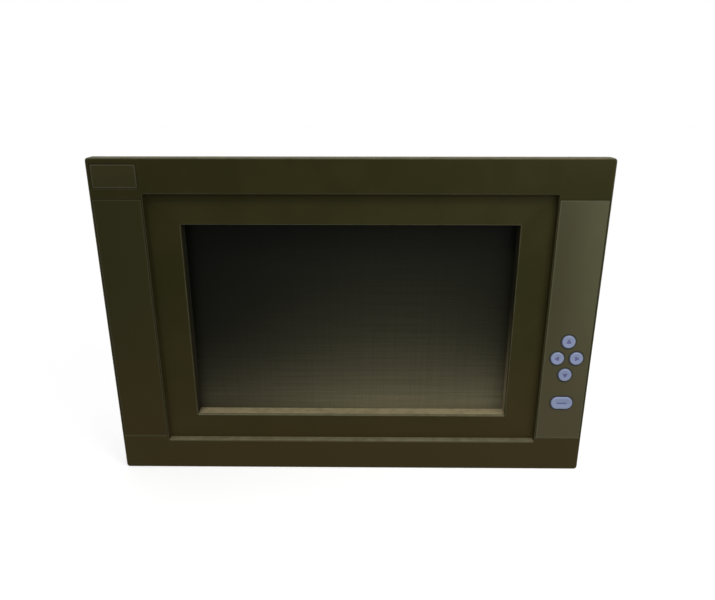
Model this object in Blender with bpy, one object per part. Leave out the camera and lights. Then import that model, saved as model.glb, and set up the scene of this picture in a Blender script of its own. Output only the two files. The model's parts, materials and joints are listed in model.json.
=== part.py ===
"""Landscape operator panel for a control cabinet door, as an assembly of separate pieces.

The front face looks along -Y, +X is to the operator's right and +Z is up. The origin is the centre of the
door cut-out, on the plane where the door's front face meets the gasket. Lengths are in metres.
"""

import math

import bmesh
import bpy
from mathutils import Matrix, Vector

MM = 0.001

# Clearances
GAP = 0.3 * MM
OVERSHOOT = 1.0 * MM

# Bezel face: window, mitred band, key strip and border
WINDOW_WIDTH = 219.0 * MM
WINDOW_HEIGHT = 138.0 * MM
BAND_SIDE_WIDTH = 22.0 * MM
BAND_END_HEIGHT = 19.4 * MM
STRIP_WIDTH = 33.5 * MM
BORDER_HEIGHT = 23.1 * MM
CORNER_RADIUS = 2.2 * MM
FACE_EDGE_ROUND = 1.0 * MM
RECESS_DEPTH = 4.2 * MM
LIP_DEPTH = 1.8 * MM
LIP_THICKNESS = 2.5 * MM
FACE_WALL = 3.0 * MM
COLLAR_WALL = 3.0 * MM
BOSS_RADIUS = 3.5 * MM
BOSS_SIDE_OFFSET = 8.0 * MM
BOSS_END_OFFSET = 6.0 * MM
POCKET_MARGIN = 3.5 * MM

# Films and plate let into the face
FILM_THICKNESS = 0.4 * MM
FILM_SET_BACK = 0.1 * MM
FILM_INNER_MARGIN = 0.8 * MM
FILM_OUTER_MARGIN = 1.2 * MM
FILM_END_MARGIN = 2.7 * MM
BADGE_SIDE_MARGIN = 1.0 * MM
BADGE_END_MARGIN = 3.6 * MM

# Keys
KEY_DIAMETER = 9.0 * MM
KEY_SIDE_GAP = 4.0 * MM
KEY_RISE = 12.35 * MM
KEY_CLUSTER_Z = -23.1 * MM
ENTER_DROP = 34.1 * MM
ENTER_STRETCH = 6.0 * MM
KEY_PROUD = 1.0 * MM
KEY_CROWN = ((0.0, 0.35), (0.15, 0.14), (0.45, 0.03), (0.75, 0.0))
KEY_FLANGE = 0.8 * MM
KEY_FLANGE_THICKNESS = 0.6 * MM
KEY_STEM_RADIUS = 1.6 * MM
KEY_STEM_LENGTH = 0.7 * MM
KEY_TRAVEL = 0.6 * MM
DOME_CLEARANCE = 0.1 * MM
DOME_HEIGHT = 0.9 * MM
DOME_SPREAD = 1.8 * MM
MAT_THICKNESS = 0.5 * MM
KEYPAD_BOARD_THICKNESS = 1.0 * MM
KEYPAD_MARGIN = 1.6 * MM
KEYPAD_BACK_WALL = 2.9 * MM

# Gasket, lining, glass and display
GASKET_THICKNESS = 2.0 * MM
GASKET_EDGE_MARGIN = 3.0 * MM
GASKET_CLEARANCE = 2.0 * MM
SEAL_WALL = 2.0 * MM
SEAL_SET_BACK = 0.3 * MM
GLASS_DEPTH = 13.5 * MM
GLASS_THICKNESS = 1.8 * MM
GLASS_MARGIN = 4.5 * MM
DISPLAY_MARGIN = 2.0 * MM
DISPLAY_FRAME_WALL = 1.0 * MM
DISPLAY_RIM = 1.0 * MM
CELL_THICKNESS = 2.0 * MM
GUIDE_THICKNESS = 3.6 * MM

# Chassis, main board and what stands on them
CHASSIS_THICKNESS = 1.5 * MM
CHASSIS_MARGIN = 7.5 * MM
COVER_POST_RADIUS = 4.0 * MM
COVER_POST_SIDE_INSET = 9.5 * MM
COVER_POST_END_INSET = 27.0 * MM
BOARD_POST_RADIUS = 3.0 * MM
BOARD_POST_LENGTH = 8.0 * MM
BOARD_SIDE_CLEARANCE = 14.0 * MM
BOARD_TOP_DROP = 27.5 * MM
BOARD_THICKNESS = 1.6 * MM
BOARD_EDGE_CLEARANCE = 3.0 * MM
BOARD_HOLE_INSET = 8.0 * MM
PROCESSOR_SIDE = 30.0 * MM
PROCESSOR_THICKNESS = 2.5 * MM
PROCESSOR_X = -40.0 * MM
PROCESSOR_Z = 5.0 * MM
HEAT_SINK_SIDE = 44.0 * MM
HEAT_SINK_BASE = 3.0 * MM
FIN_HEIGHT = 10.0 * MM
FIN_THICKNESS = 1.6 * MM
FIN_COUNT = 8
CAPACITOR_RADIUS = 6.0 * MM
CAPACITOR_LENGTH = 16.0 * MM
CAPACITOR_CHAMFER = 0.8 * MM
CAPACITOR_X = 62.0 * MM
CAPACITOR_Z = -22.0 * MM
COIN_CELL_RADIUS = 10.0 * MM
COIN_CELL_THICKNESS = 3.2 * MM
COIN_CELL_CHAMFER = 0.8 * MM
COIN_CELL_X = 62.0 * MM
COIN_CELL_Z = 22.0 * MM
RIBBON_THICKNESS = 0.4 * MM
RIBBON_LANDING = 9.0 * MM
DISPLAY_RIBBON_WIDTH = 20.0 * MM
DISPLAY_RIBBON_DROP = 10.0 * MM
DISPLAY_RIBBON_BEND_Y = 2.0 * MM
DISPLAY_RIBBON_BEND_Z = 3.4 * MM
KEYPAD_RIBBON_WIDTH = 8.0 * MM
KEYPAD_RIBBON_BEND = 3.0 * MM

# Rear housing
HOUSING_SIDE_CLEARANCE = 17.0 * MM
HOUSING_END_CLEARANCE = 6.0 * MM
HOUSING_REAR_CLEARANCE = 8.9 * MM
HOUSING_WALL = 1.5 * MM
HOUSING_CORNER_RADIUS = 3.0 * MM
VENT_WIDTH = 3.0 * MM
VENT_PITCH = 7.0 * MM
VENT_LENGTH = 36.0 * MM
VENT_COUNT = 8
VENT_GROUP_X = 75.0 * MM
VENT_GROUP_Z = 30.0 * MM
TOP_VENT_COUNT = 16
TOP_VENT_LENGTH = 16.0 * MM
TOP_VENT_REAR_MARGIN = 7.0 * MM
RATING_WIDTH = 64.0 * MM
RATING_HEIGHT = 36.0 * MM
RATING_THICKNESS = 0.5 * MM
RATING_Z = 10.0 * MM

# Ports in the bottom wall
NETWORK_X = 12.0 * MM
NETWORK_WIDTH = 16.0 * MM
NETWORK_HEIGHT = 13.6 * MM
NETWORK_LENGTH = 21.0 * MM
NETWORK_SIDE_WALL = 2.1 * MM
NETWORK_FLOOR = 1.8 * MM
NETWORK_ROOF = 1.2 * MM
NETWORK_BACK = 7.0 * MM
NETWORK_LATCH_WIDTH = 6.0 * MM
NETWORK_LATCH_HEIGHT = 2.2 * MM
NETWORK_LATCH_BACK = 10.0 * MM
USB_X = -22.0 * MM
USB_WIDTH = 14.4 * MM
USB_HEIGHT = 7.0 * MM
USB_LENGTH = 15.0 * MM
USB_SHELL = 0.8 * MM
USB_BACK = 3.0 * MM
USB_TONGUE_WIDTH = 10.0 * MM
USB_TONGUE_THICKNESS = 1.8 * MM
USB_TONGUE_LENGTH = 9.5 * MM
SERIAL_X = 58.0 * MM
SERIAL_WIDTH = 17.0 * MM
SERIAL_HEIGHT = 8.4 * MM
SERIAL_TAPER = 1.4 * MM
SERIAL_PROUD = 4.0 * MM
SERIAL_FLANGE_WIDTH = 31.0 * MM
SERIAL_FLANGE_HEIGHT = 12.6 * MM
SERIAL_FLANGE_THICKNESS = 1.0 * MM
SERIAL_BODY_LENGTH = 10.0 * MM
SERIAL_PIN_PITCH = 2.76 * MM
SERIAL_ROW_PITCH = 2.84 * MM
SERIAL_PIN_RADIUS = 0.6 * MM
SERIAL_PIN_DEPTH = 5.0 * MM
JACK_POST_SPACING = 25.0 * MM
JACK_POST_RADIUS = 2.9 * MM
JACK_POST_BORE = 1.3 * MM
JACK_POST_PROUD = 5.0 * MM
POWER_SIDE_INSET = 32.0 * MM
POWER_NOSE_WIDTH = 11.0 * MM
POWER_NOSE_HEIGHT = 7.4 * MM
POWER_NOSE_LENGTH = 9.0 * MM
POWER_HEADER_WALL = 1.2 * MM
POWER_HEADER_BACK = 3.0 * MM
POWER_PIN_PITCH = 5.08 * MM
POWER_PIN_SIDE = 1.0 * MM
POWER_PIN_LENGTH = 7.0 * MM
POWER_BODY_WIDTH = 13.0 * MM
POWER_BODY_HEIGHT = 11.0 * MM
POWER_BODY_LENGTH = 12.0 * MM
WIRE_HOLE_RADIUS = 1.5 * MM
WIRE_HOLE_DEPTH = 4.0 * MM
TERMINAL_SCREW_RADIUS = 1.5 * MM
TERMINAL_SCREW_LENGTH = 2.6 * MM
TERMINAL_SCREW_SET_BACK = 0.8 * MM
EARTH_SIDE_INSET = 20.5 * MM
EARTH_REAR_INSET = 16.0 * MM
EARTH_RADIUS = 2.0 * MM
EARTH_HEAD_RADIUS = 4.0 * MM
EARTH_HEAD_THICKNESS = 2.6 * MM
EARTH_NUT_RADIUS = 4.0 * MM
EARTH_NUT_THICKNESS = 3.2 * MM
EARTH_LENGTH = 10.0 * MM

# Screws
SCREW_RADIUS = 1.5 * MM
SCREW_HEAD_RADIUS = 2.8 * MM
SCREW_HEAD_HEIGHT = 1.8 * MM
SCREW_LENGTH = 7.0 * MM
PAN_EDGE_SHARE = 0.6
PAN_CROWN_SHARE = 0.72
DRIVE_SLOT_WIDTH = 0.8 * MM
DRIVE_SLOT_DEPTH = 0.8 * MM

# Mounting clamps
CLAMP_SIDE_INSET = 40.0 * MM
CLAMP_REST_GAP = 6.2 * MM
CLAMP_TRAVEL = 4.9 * MM
CLAMP_WIDTH = 14.0 * MM
CLAMP_HEIGHT = 9.0 * MM
CLAMP_BLOCK_GAP = 5.8 * MM
CLAMP_BLOCK_LENGTH = 8.0 * MM
CLAMP_AXIS_HEIGHT = 5.2 * MM
CLAMP_TAB_WIDTH = 10.0 * MM
CLAMP_TAB_LENGTH = 4.0 * MM
CLAMP_LIP_LENGTH = 4.5 * MM
CLAMP_LIP_THICKNESS = 2.0 * MM
CLAMP_LIP_STEP = 0.1 * MM
CLAMP_FOOT_RADIUS = 4.5 * MM
CLAMP_FOOT_LENGTH = 4.0 * MM
CLAMP_FOOT_CHAMFER = 1.0 * MM
CLAMP_SOCKET_DEPTH = 2.2 * MM
CLAMP_SCREW_RADIUS = 2.0 * MM
CLAMP_HEAD_CLEARANCE = 5.4 * MM
CLAMP_HEAD_RADIUS = 3.6 * MM
CLAMP_HEAD_LENGTH = 4.0 * MM

# Roundness of turned and curved outlines
ROUND_SIDES = 16
KEY_SIDES = 24
HEX_SIDES = 6
CORNER_STEPS = 4
SHARP_ANGLE = math.radians(35)
MITRE_LIMIT = 0.5

# Heights and half widths that follow from the sizes above
RING_Y = -(GASKET_THICKNESS + GAP)
KEYPAD_FLOOR_Y = RING_Y - KEYPAD_BACK_WALL
KEYPAD_BOARD_REAR_Y = KEYPAD_FLOOR_Y - GAP
KEYPAD_BOARD_Y = KEYPAD_BOARD_REAR_Y - KEYPAD_BOARD_THICKNESS
MAT_REAR_Y = KEYPAD_BOARD_Y - GAP
MAT_Y = MAT_REAR_Y - MAT_THICKNESS
DOME_Y = MAT_Y - DOME_HEIGHT
KEY_STEM_Y = DOME_Y - DOME_CLEARANCE - KEY_TRAVEL
KEY_FLANGE_REAR_Y = KEY_STEM_Y - KEY_STEM_LENGTH
KEY_FLANGE_Y = KEY_FLANGE_REAR_Y - KEY_FLANGE_THICKNESS
FILM_SEAT_Y = KEY_FLANGE_Y
FILM_REAR_Y = FILM_SEAT_Y - GAP
FILM_FRONT_Y = FILM_REAR_Y - FILM_THICKNESS
FACE_Y = FILM_FRONT_Y - FILM_SET_BACK
GLASS_Y = FACE_Y + GLASS_DEPTH
COLLAR_Y = GLASS_Y - GAP
POCKET_Y = FACE_Y + RECESS_DEPTH + FACE_WALL
LIP_REAR_Y = FACE_Y + LIP_DEPTH + LIP_THICKNESS
DISPLAY_Y = GLASS_Y + GLASS_THICKNESS + GAP
CELL_Y = DISPLAY_Y + DISPLAY_FRAME_WALL + GAP
GUIDE_Y = CELL_Y + CELL_THICKNESS + GAP
DISPLAY_REAR_Y = GUIDE_Y + GUIDE_THICKNESS
CHASSIS_Y = DISPLAY_REAR_Y + GAP
CHASSIS_REAR_Y = CHASSIS_Y + CHASSIS_THICKNESS
BOARD_Y = CHASSIS_REAR_Y + BOARD_POST_LENGTH + GAP
BOARD_REAR_Y = BOARD_Y + BOARD_THICKNESS
PORT_Y = BOARD_REAR_Y + GAP
HEAT_SINK_Y = PORT_Y + PROCESSOR_THICKNESS + GAP
HEAT_SINK_REAR_Y = HEAT_SINK_Y + HEAT_SINK_BASE + FIN_HEIGHT
HOUSING_DEPTH = HEAT_SINK_REAR_Y + HOUSING_REAR_CLEARANCE + HOUSING_WALL

WINDOW_X = WINDOW_WIDTH / 2
WINDOW_Z = WINDOW_HEIGHT / 2
RECESS_X = WINDOW_X + BAND_SIDE_WIDTH
RECESS_Z = WINDOW_Z + BAND_END_HEIGHT
BEZEL_X = RECESS_X + STRIP_WIDTH
BEZEL_Z = RECESS_Z + BORDER_HEIGHT
SEAL_GROW = SEAL_SET_BACK + SEAL_WALL
SEAL_POCKET_GROW = SEAL_GROW + GAP
COLLAR_GROW = SEAL_POCKET_GROW + COLLAR_WALL
DISPLAY_GROW = GLASS_MARGIN + DISPLAY_MARGIN
BOSS_X = WINDOW_X + DISPLAY_GROW + BOSS_SIDE_OFFSET
BOSS_Z = WINDOW_Z + DISPLAY_GROW + BOSS_END_OFFSET
POCKET_X = BOSS_X + BOSS_RADIUS + POCKET_MARGIN
POCKET_Z = BOSS_Z + BOSS_RADIUS + POCKET_MARGIN
CHASSIS_X = BOSS_X + CHASSIS_MARGIN
CHASSIS_Z = BOSS_Z + CHASSIS_MARGIN
INSIDE_X = CHASSIS_X + HOUSING_SIDE_CLEARANCE
INSIDE_Z = CHASSIS_Z + HOUSING_END_CLEARANCE
HOUSING_X = INSIDE_X + HOUSING_WALL
HOUSING_Z = INSIDE_Z + HOUSING_WALL
COVER_POST_X = CHASSIS_X - COVER_POST_SIDE_INSET
COVER_POST_Z = CHASSIS_Z - COVER_POST_END_INSET
STRIP_INNER_X = RECESS_X + FILM_INNER_MARGIN
STRIP_OUTER_X = BEZEL_X - FILM_OUTER_MARGIN
STRIP_X = (STRIP_INNER_X + STRIP_OUTER_X) / 2
FILM_Z = RECESS_Z - FILM_END_MARGIN
BADGE_X = (STRIP_OUTER_X - STRIP_INNER_X) / 2 - BADGE_SIDE_MARGIN
BADGE_HALF_HEIGHT = BORDER_HEIGHT / 2 - BADGE_END_MARGIN
BADGE_Z = RECESS_Z + BORDER_HEIGHT / 2
BOARD_X = COVER_POST_X - COVER_POST_RADIUS - BOARD_SIDE_CLEARANCE
POWER_X = POWER_SIDE_INSET - BOARD_X
BOARD_BOTTOM_Z = BOARD_EDGE_CLEARANCE - INSIDE_Z
BOARD_TOP_Z = WINDOW_Z + DISPLAY_GROW - BOARD_TOP_DROP
EARTH_X = EARTH_SIDE_INSET - INSIDE_X
EARTH_Y = HOUSING_DEPTH - EARTH_REAR_INSET
CLAMP_X = HOUSING_X - CLAMP_SIDE_INSET
CLAMP_FOOT_REAR_Y = CLAMP_REST_GAP + CLAMP_FOOT_LENGTH
CLAMP_BLOCK_Y = CLAMP_FOOT_REAR_Y + CLAMP_BLOCK_GAP
CLAMP_TIP_Y = CLAMP_FOOT_REAR_Y - CLAMP_SOCKET_DEPTH + GAP
CLAMP_HEAD_Y = CLAMP_BLOCK_Y + CLAMP_BLOCK_LENGTH + CLAMP_TRAVEL + CLAMP_HEAD_CLEARANCE
SCREW_HOLE_RADIUS = SCREW_RADIUS + GAP
PILOT_DEPTH = SCREW_LENGTH + OVERSHOOT

# Keys on the strip and the cavity behind them
KEY_RADIUS = KEY_DIAMETER / 2
KEY_SIDE_OFFSET = (KEY_DIAMETER + KEY_SIDE_GAP) / 2
KEYS = {
    "key_up": (0.0, KEY_RISE, 0.0),
    "key_left": (-KEY_SIDE_OFFSET, 0.0, 0.0),
    "key_right": (KEY_SIDE_OFFSET, 0.0, 0.0),
    "key_down": (0.0, -KEY_RISE, 0.0),
    "key_enter": (0.0, -ENTER_DROP, ENTER_STRETCH),
}
KEYPAD_REACH = KEY_RADIUS + KEY_FLANGE + KEYPAD_MARGIN
KEYPAD_HALF_WIDTH = KEY_SIDE_OFFSET + KEYPAD_REACH
KEYPAD_TOP_Z = KEY_CLUSTER_Z + KEY_RISE + KEYPAD_REACH
KEYPAD_BOTTOM_Z = KEY_CLUSTER_Z - ENTER_DROP - KEYPAD_REACH
KEYPAD_RIBBON_X = (STRIP_X - KEYPAD_HALF_WIDTH + INSIDE_X) / 2
KEYPAD_RIBBON_Z = KEY_CLUSTER_Z

# Finishes as colour, roughness and metallic share
FINISHES = {
    "bezel": ((0.024, 0.021, 0.010), 0.55, 0.0),
    "film": ((0.060, 0.057, 0.033), 0.40, 0.0),
    "badge": ((0.030, 0.027, 0.015), 0.45, 0.0),
    "key": ((0.240, 0.260, 0.420), 0.45, 0.0),
    "rubber": ((0.020, 0.020, 0.020), 0.85, 0.0),
    "lining": ((0.130, 0.105, 0.060), 0.75, 0.0),
    "silicone": ((0.450, 0.450, 0.430), 0.70, 0.0),
    "glass": ((0.012, 0.013, 0.012), 0.12, 0.0),
    "cell": ((0.010, 0.011, 0.012), 0.25, 0.0),
    "guide": ((0.800, 0.800, 0.780), 0.40, 0.0),
    "board": ((0.010, 0.080, 0.035), 0.55, 0.0),
    "ribbon": ((0.420, 0.200, 0.045), 0.50, 0.0),
    "chip": ((0.015, 0.015, 0.016), 0.50, 0.0),
    "aluminium": ((0.560, 0.570, 0.580), 0.35, 1.0),
    "zinc": ((0.520, 0.525, 0.520), 0.42, 1.0),
    "steel": ((0.450, 0.450, 0.440), 0.30, 1.0),
    "sleeve": ((0.020, 0.030, 0.070), 0.40, 0.0),
    "socket": ((0.020, 0.020, 0.022), 0.50, 0.0),
    "terminal": ((0.030, 0.180, 0.060), 0.50, 0.0),
    "label": ((0.480, 0.480, 0.470), 0.45, 0.0),
    "brass": ((0.560, 0.400, 0.140), 0.35, 1.0),
}


def clear_scene():
    """Removes every object, so that only the panel is left."""
    for obj in list(bpy.data.objects):
        bpy.data.objects.remove(obj, do_unlink=True)


def node_from(bm, name):
    """Turns a closed bmesh into an object whose faces point out."""
    bmesh.ops.recalc_face_normals(bm, faces=bm.faces)
    mesh = bpy.data.meshes.new(name)
    bm.to_mesh(mesh)
    bm.free()
    mesh.shade_smooth()
    mesh.set_sharp_from_angle(angle=SHARP_ANGLE)
    obj = bpy.data.objects.new(name, mesh)
    bpy.context.scene.collection.objects.link(obj)
    return obj


def skin(name, rings):
    """Closed solid through rings of matching points, with a cap on the first and the last."""
    bm = bmesh.new()
    loops = [[bm.verts.new(point) for point in ring] for ring in rings]
    for first, second in zip(loops, loops[1:]):
        for i in range(len(first)):
            j = (i + 1) % len(first)
            bm.faces.new((first[i], first[j], second[j], second[i]))
    bm.faces.new(list(reversed(loops[0])))
    bm.faces.new(loops[-1])
    return node_from(bm, name)


def box(name, x, y, z):
    """Box between two limits on each axis."""
    def ring(depth):
        return [(x[0], depth, z[0]), (x[1], depth, z[0]), (x[1], depth, z[1]), (x[0], depth, z[1])]

    return skin(name, [ring(y[0]), ring(y[1])])


def slab(name, half_x, y, half_z):
    """Box centred on the Y axis."""
    return box(name, (-half_x, half_x), y, (-half_z, half_z))


def rounded_outline(half_x, half_z, radius):
    """Points around a rectangle with round corners, in the XZ plane."""
    points = []
    for quarter, (sign_x, sign_z) in enumerate(((1, 1), (-1, 1), (-1, -1), (1, -1))):
        for step in range(CORNER_STEPS + 1):
            angle = math.radians(90) * (quarter + step / CORNER_STEPS)
            points.append((
                sign_x * (half_x - radius) + radius * math.cos(angle),
                sign_z * (half_z - radius) + radius * math.sin(angle),
            ))
    return points


def rounded_slab(name, half_x, y, half_z, radius):
    """Rectangular slab whose four edges along Y are rounded."""
    outline = rounded_outline(half_x, half_z, radius)
    return skin(name, [[(px, depth, pz) for px, pz in outline] for depth in y])


def stadium(centre_x, centre_z, stretch, radius):
    """Points of a circle drawn out sideways by a stretch."""
    points = []
    for i in range(KEY_SIDES):
        angle = 2 * math.pi * (i + 0.5) / KEY_SIDES
        side = math.copysign(stretch / 2, math.cos(angle))
        points.append((centre_x + side + radius * math.cos(angle), centre_z + radius * math.sin(angle)))
    return points


def turned(name, centre, axis, profile, sides=ROUND_SIDES):
    """Solid of round rings along an axis, from a profile of distance along it and radius."""
    direction = Vector(axis).normalized()
    turn = direction.to_track_quat("Z", "Y").to_matrix()
    rings = []
    for along, radius in profile:
        ring = []
        for i in range(sides):
            angle = 2 * math.pi * (i + 0.5) / sides
            point = Vector((radius * math.cos(angle), radius * math.sin(angle), along))
            ring.append(Vector(centre) + turn @ point)
        rings.append(ring)
    return skin(name, rings)


def rod(name, start, axis, radius, length, sides=ROUND_SIDES):
    """Plain cylinder or prism from a start point along an axis."""
    return turned(name, start, axis, [(0.0, radius), (length, radius)], sides)


def gathered(name, pieces):
    """One object that holds the meshes of several separate helpers."""
    bm = bmesh.new()
    for piece in pieces:
        bm.from_mesh(piece.data)
        bpy.data.objects.remove(piece, do_unlink=True)
    return node_from(bm, name)


def combine(target, tool, operation):
    """Boolean of a node with a helper, which stays as a hidden wire object."""
    tool.name = f"{target.name}_{tool.name}"
    tool.hide_render = True
    tool.display_type = "WIRE"
    modifier = target.modifiers.new(tool.name, "BOOLEAN")
    modifier.operation = operation
    modifier.solver = "EXACT"
    modifier.object = tool


def carve(target, *tools):
    """Cuts helpers out of a node."""
    for tool in tools:
        combine(target, tool, "DIFFERENCE")


def weld(target, *tools):
    """Joins helpers to a node as one body."""
    for tool in tools:
        combine(target, tool, "UNION")


def seat_origin(obj, point):
    """Puts an object's origin on a point, such as one on its joint's axis."""
    obj.data.transform(Matrix.Translation(-Vector(point)))
    obj.location = point


def dress(obj, finish):
    """Gives a node a material of its own with one of the finishes."""
    colour, roughness, metallic = FINISHES[finish]
    material = bpy.data.materials.new(f"{obj.name}_{finish}")
    material.use_nodes = True
    shader = material.node_tree.nodes["Principled BSDF"]
    shader.inputs["Base Color"].default_value = (*colour, 1.0)
    shader.inputs["Roughness"].default_value = roughness
    shader.inputs["Metallic"].default_value = metallic
    obj.data.materials.append(material)
    return obj


def four_corners(half_x, half_z):
    """The corners of a centred rectangle: top left, top right, bottom left, bottom right."""
    return [(-half_x, half_z), (half_x, half_z), (-half_x, -half_z), (half_x, -half_z)]


def face_plate():
    """Bezel plate with a rounded front edge."""
    levels = []
    for step in range(CORNER_STEPS + 1):
        angle = math.radians(90) * step / CORNER_STEPS
        inset = FACE_EDGE_ROUND * (1 - math.sin(angle))
        depth = FACE_EDGE_ROUND * (1 - math.cos(angle))
        outline = rounded_outline(BEZEL_X - inset, BEZEL_Z - inset, CORNER_RADIUS - inset)
        levels.append([(px, FACE_Y + depth, pz) for px, pz in outline])
    outline = rounded_outline(BEZEL_X, BEZEL_Z, CORNER_RADIUS)
    levels.append([(px, RING_Y, pz) for px, pz in outline])
    return skin("front_bezel", levels)


def mitred_recess():
    """Helper for the framed recess, whose floor rises from its edge to the window lip."""
    def ring(half_x, depth, half_z):
        return [(sx * half_x, depth, sz * half_z) for sx, sz in ((-1, -1), (1, -1), (1, 1), (-1, 1))]

    return skin("recess", [
        ring(RECESS_X, FACE_Y - OVERSHOOT, RECESS_Z),
        ring(RECESS_X, FACE_Y + RECESS_DEPTH, RECESS_Z),
        ring(WINDOW_X, FACE_Y + LIP_DEPTH, WINDOW_Z),
    ])


def make_front_bezel():
    """Moulded front: framed recess, window collar, film seats, keypad cavity and chassis bosses."""
    bezel = face_plate()
    carve(bezel, slab("rear_pocket", POCKET_X, (POCKET_Y, RING_Y + OVERSHOOT), POCKET_Z))
    collar_y = (POCKET_Y - OVERSHOOT, COLLAR_Y)
    weld(bezel, slab("collar", WINDOW_X + COLLAR_GROW, collar_y, WINDOW_Z + COLLAR_GROW))
    boss_length = CHASSIS_Y - GAP - POCKET_Y + OVERSHOOT
    weld(bezel, gathered("bosses", [
        rod("boss", (bx, POCKET_Y - OVERSHOOT, bz), (0, 1, 0), BOSS_RADIUS, boss_length)
        for bx, bz in four_corners(BOSS_X, BOSS_Z)
    ]))
    carve(bezel, mitred_recess())
    carve(bezel, slab("window", WINDOW_X, (FACE_Y, COLLAR_Y + OVERSHOOT), WINDOW_Z))
    seal_y = (LIP_REAR_Y, COLLAR_Y + OVERSHOOT)
    carve(bezel, slab("seal_seat", WINDOW_X + SEAL_POCKET_GROW, seal_y, WINDOW_Z + SEAL_POCKET_GROW))
    pilot_y = CHASSIS_Y - GAP - PILOT_DEPTH
    carve(bezel, gathered("pilots", [
        rod("pilot", (bx, pilot_y, bz), (0, 1, 0), SCREW_HOLE_RADIUS, PILOT_DEPTH + OVERSHOOT)
        for bx, bz in four_corners(BOSS_X, BOSS_Z)
    ]))
    film_y = (FACE_Y - OVERSHOOT, FILM_SEAT_Y)
    film_z = (-FILM_Z, FILM_Z)
    carve(bezel, gathered("film_seats", [
        box("seat", (STRIP_INNER_X, STRIP_OUTER_X), film_y, film_z),
        box("seat", (-STRIP_OUTER_X, -STRIP_INNER_X), film_y, film_z),
        box("seat", *badge_limits(0.0, film_y)),
    ]))
    cavity_x = (STRIP_X - KEYPAD_HALF_WIDTH, STRIP_X + KEYPAD_HALF_WIDTH)
    cavity_y = (FACE_Y - OVERSHOOT, KEYPAD_FLOOR_Y)
    carve(bezel, box("keypad_cavity", cavity_x, cavity_y, (KEYPAD_BOTTOM_Z, KEYPAD_TOP_Z)))
    slot_x = RIBBON_THICKNESS / 2 + GAP
    slot_z = KEYPAD_RIBBON_WIDTH / 2 + GAP
    carve(bezel, box(
        "ribbon_slot",
        (KEYPAD_RIBBON_X - slot_x, KEYPAD_RIBBON_X + slot_x),
        (KEYPAD_FLOOR_Y - OVERSHOOT, RING_Y + OVERSHOOT),
        (KEYPAD_RIBBON_Z - slot_z, KEYPAD_RIBBON_Z + slot_z),
    ))
    dress(bezel, "bezel")


def badge_limits(inset, y):
    """Limits of the badge seat, drawn in by an inset."""
    half_x = BADGE_X - inset
    half_z = BADGE_HALF_HEIGHT - inset
    return (-STRIP_X - half_x, -STRIP_X + half_x), y, (BADGE_Z - half_z, BADGE_Z + half_z)


def make_films():
    """Badge plate, blank left strip and keypad film, each let into the face."""
    film_y = (FILM_FRONT_Y, FILM_REAR_Y)
    half_z = FILM_Z - GAP
    dress(box("badge_plate", *badge_limits(GAP, film_y)), "badge")
    left_x = (GAP - STRIP_OUTER_X, -STRIP_INNER_X - GAP)
    dress(box("left_overlay", left_x, film_y, (-half_z, half_z)), "bezel")
    right_x = (STRIP_INNER_X + GAP, STRIP_OUTER_X - GAP)
    film = dress(box("keypad_overlay", right_x, film_y, (-half_z, half_z)), "film")
    holes = []
    for dx, dz, stretch in KEYS.values():
        outline = stadium(STRIP_X + dx, KEY_CLUSTER_Z + dz, stretch, KEY_RADIUS + GAP)
        depths = (FILM_FRONT_Y - OVERSHOOT, FILM_REAR_Y + OVERSHOOT)
        holes.append(skin("hole", [[(px, depth, pz) for px, pz in outline] for depth in depths]))
    carve(film, gathered("key_holes", holes))


def make_keys():
    """Five caps, each held behind the film by its flange and guided by its hole."""
    crown_y = FACE_Y - KEY_PROUD
    profile = [(crown_y + depth * KEY_PROUD, -inset * KEY_RADIUS) for depth, inset in KEY_CROWN]
    profile += [
        (KEY_FLANGE_Y, 0.0),
        (KEY_FLANGE_Y, KEY_FLANGE),
        (KEY_FLANGE_REAR_Y, KEY_FLANGE),
        (KEY_FLANGE_REAR_Y, KEY_STEM_RADIUS - KEY_RADIUS),
        (KEY_STEM_Y, KEY_STEM_RADIUS - KEY_RADIUS),
    ]
    for name, (dx, dz, stretch) in KEYS.items():
        centre_x = STRIP_X + dx
        centre_z = KEY_CLUSTER_Z + dz
        rings = []
        for depth, grow in profile:
            outline = stadium(centre_x, centre_z, stretch, KEY_RADIUS + grow)
            rings.append([(px, depth, pz) for px, pz in outline])
        key = dress(skin(name, rings), "key")
        seat_origin(key, (centre_x, FACE_Y, centre_z))


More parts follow.
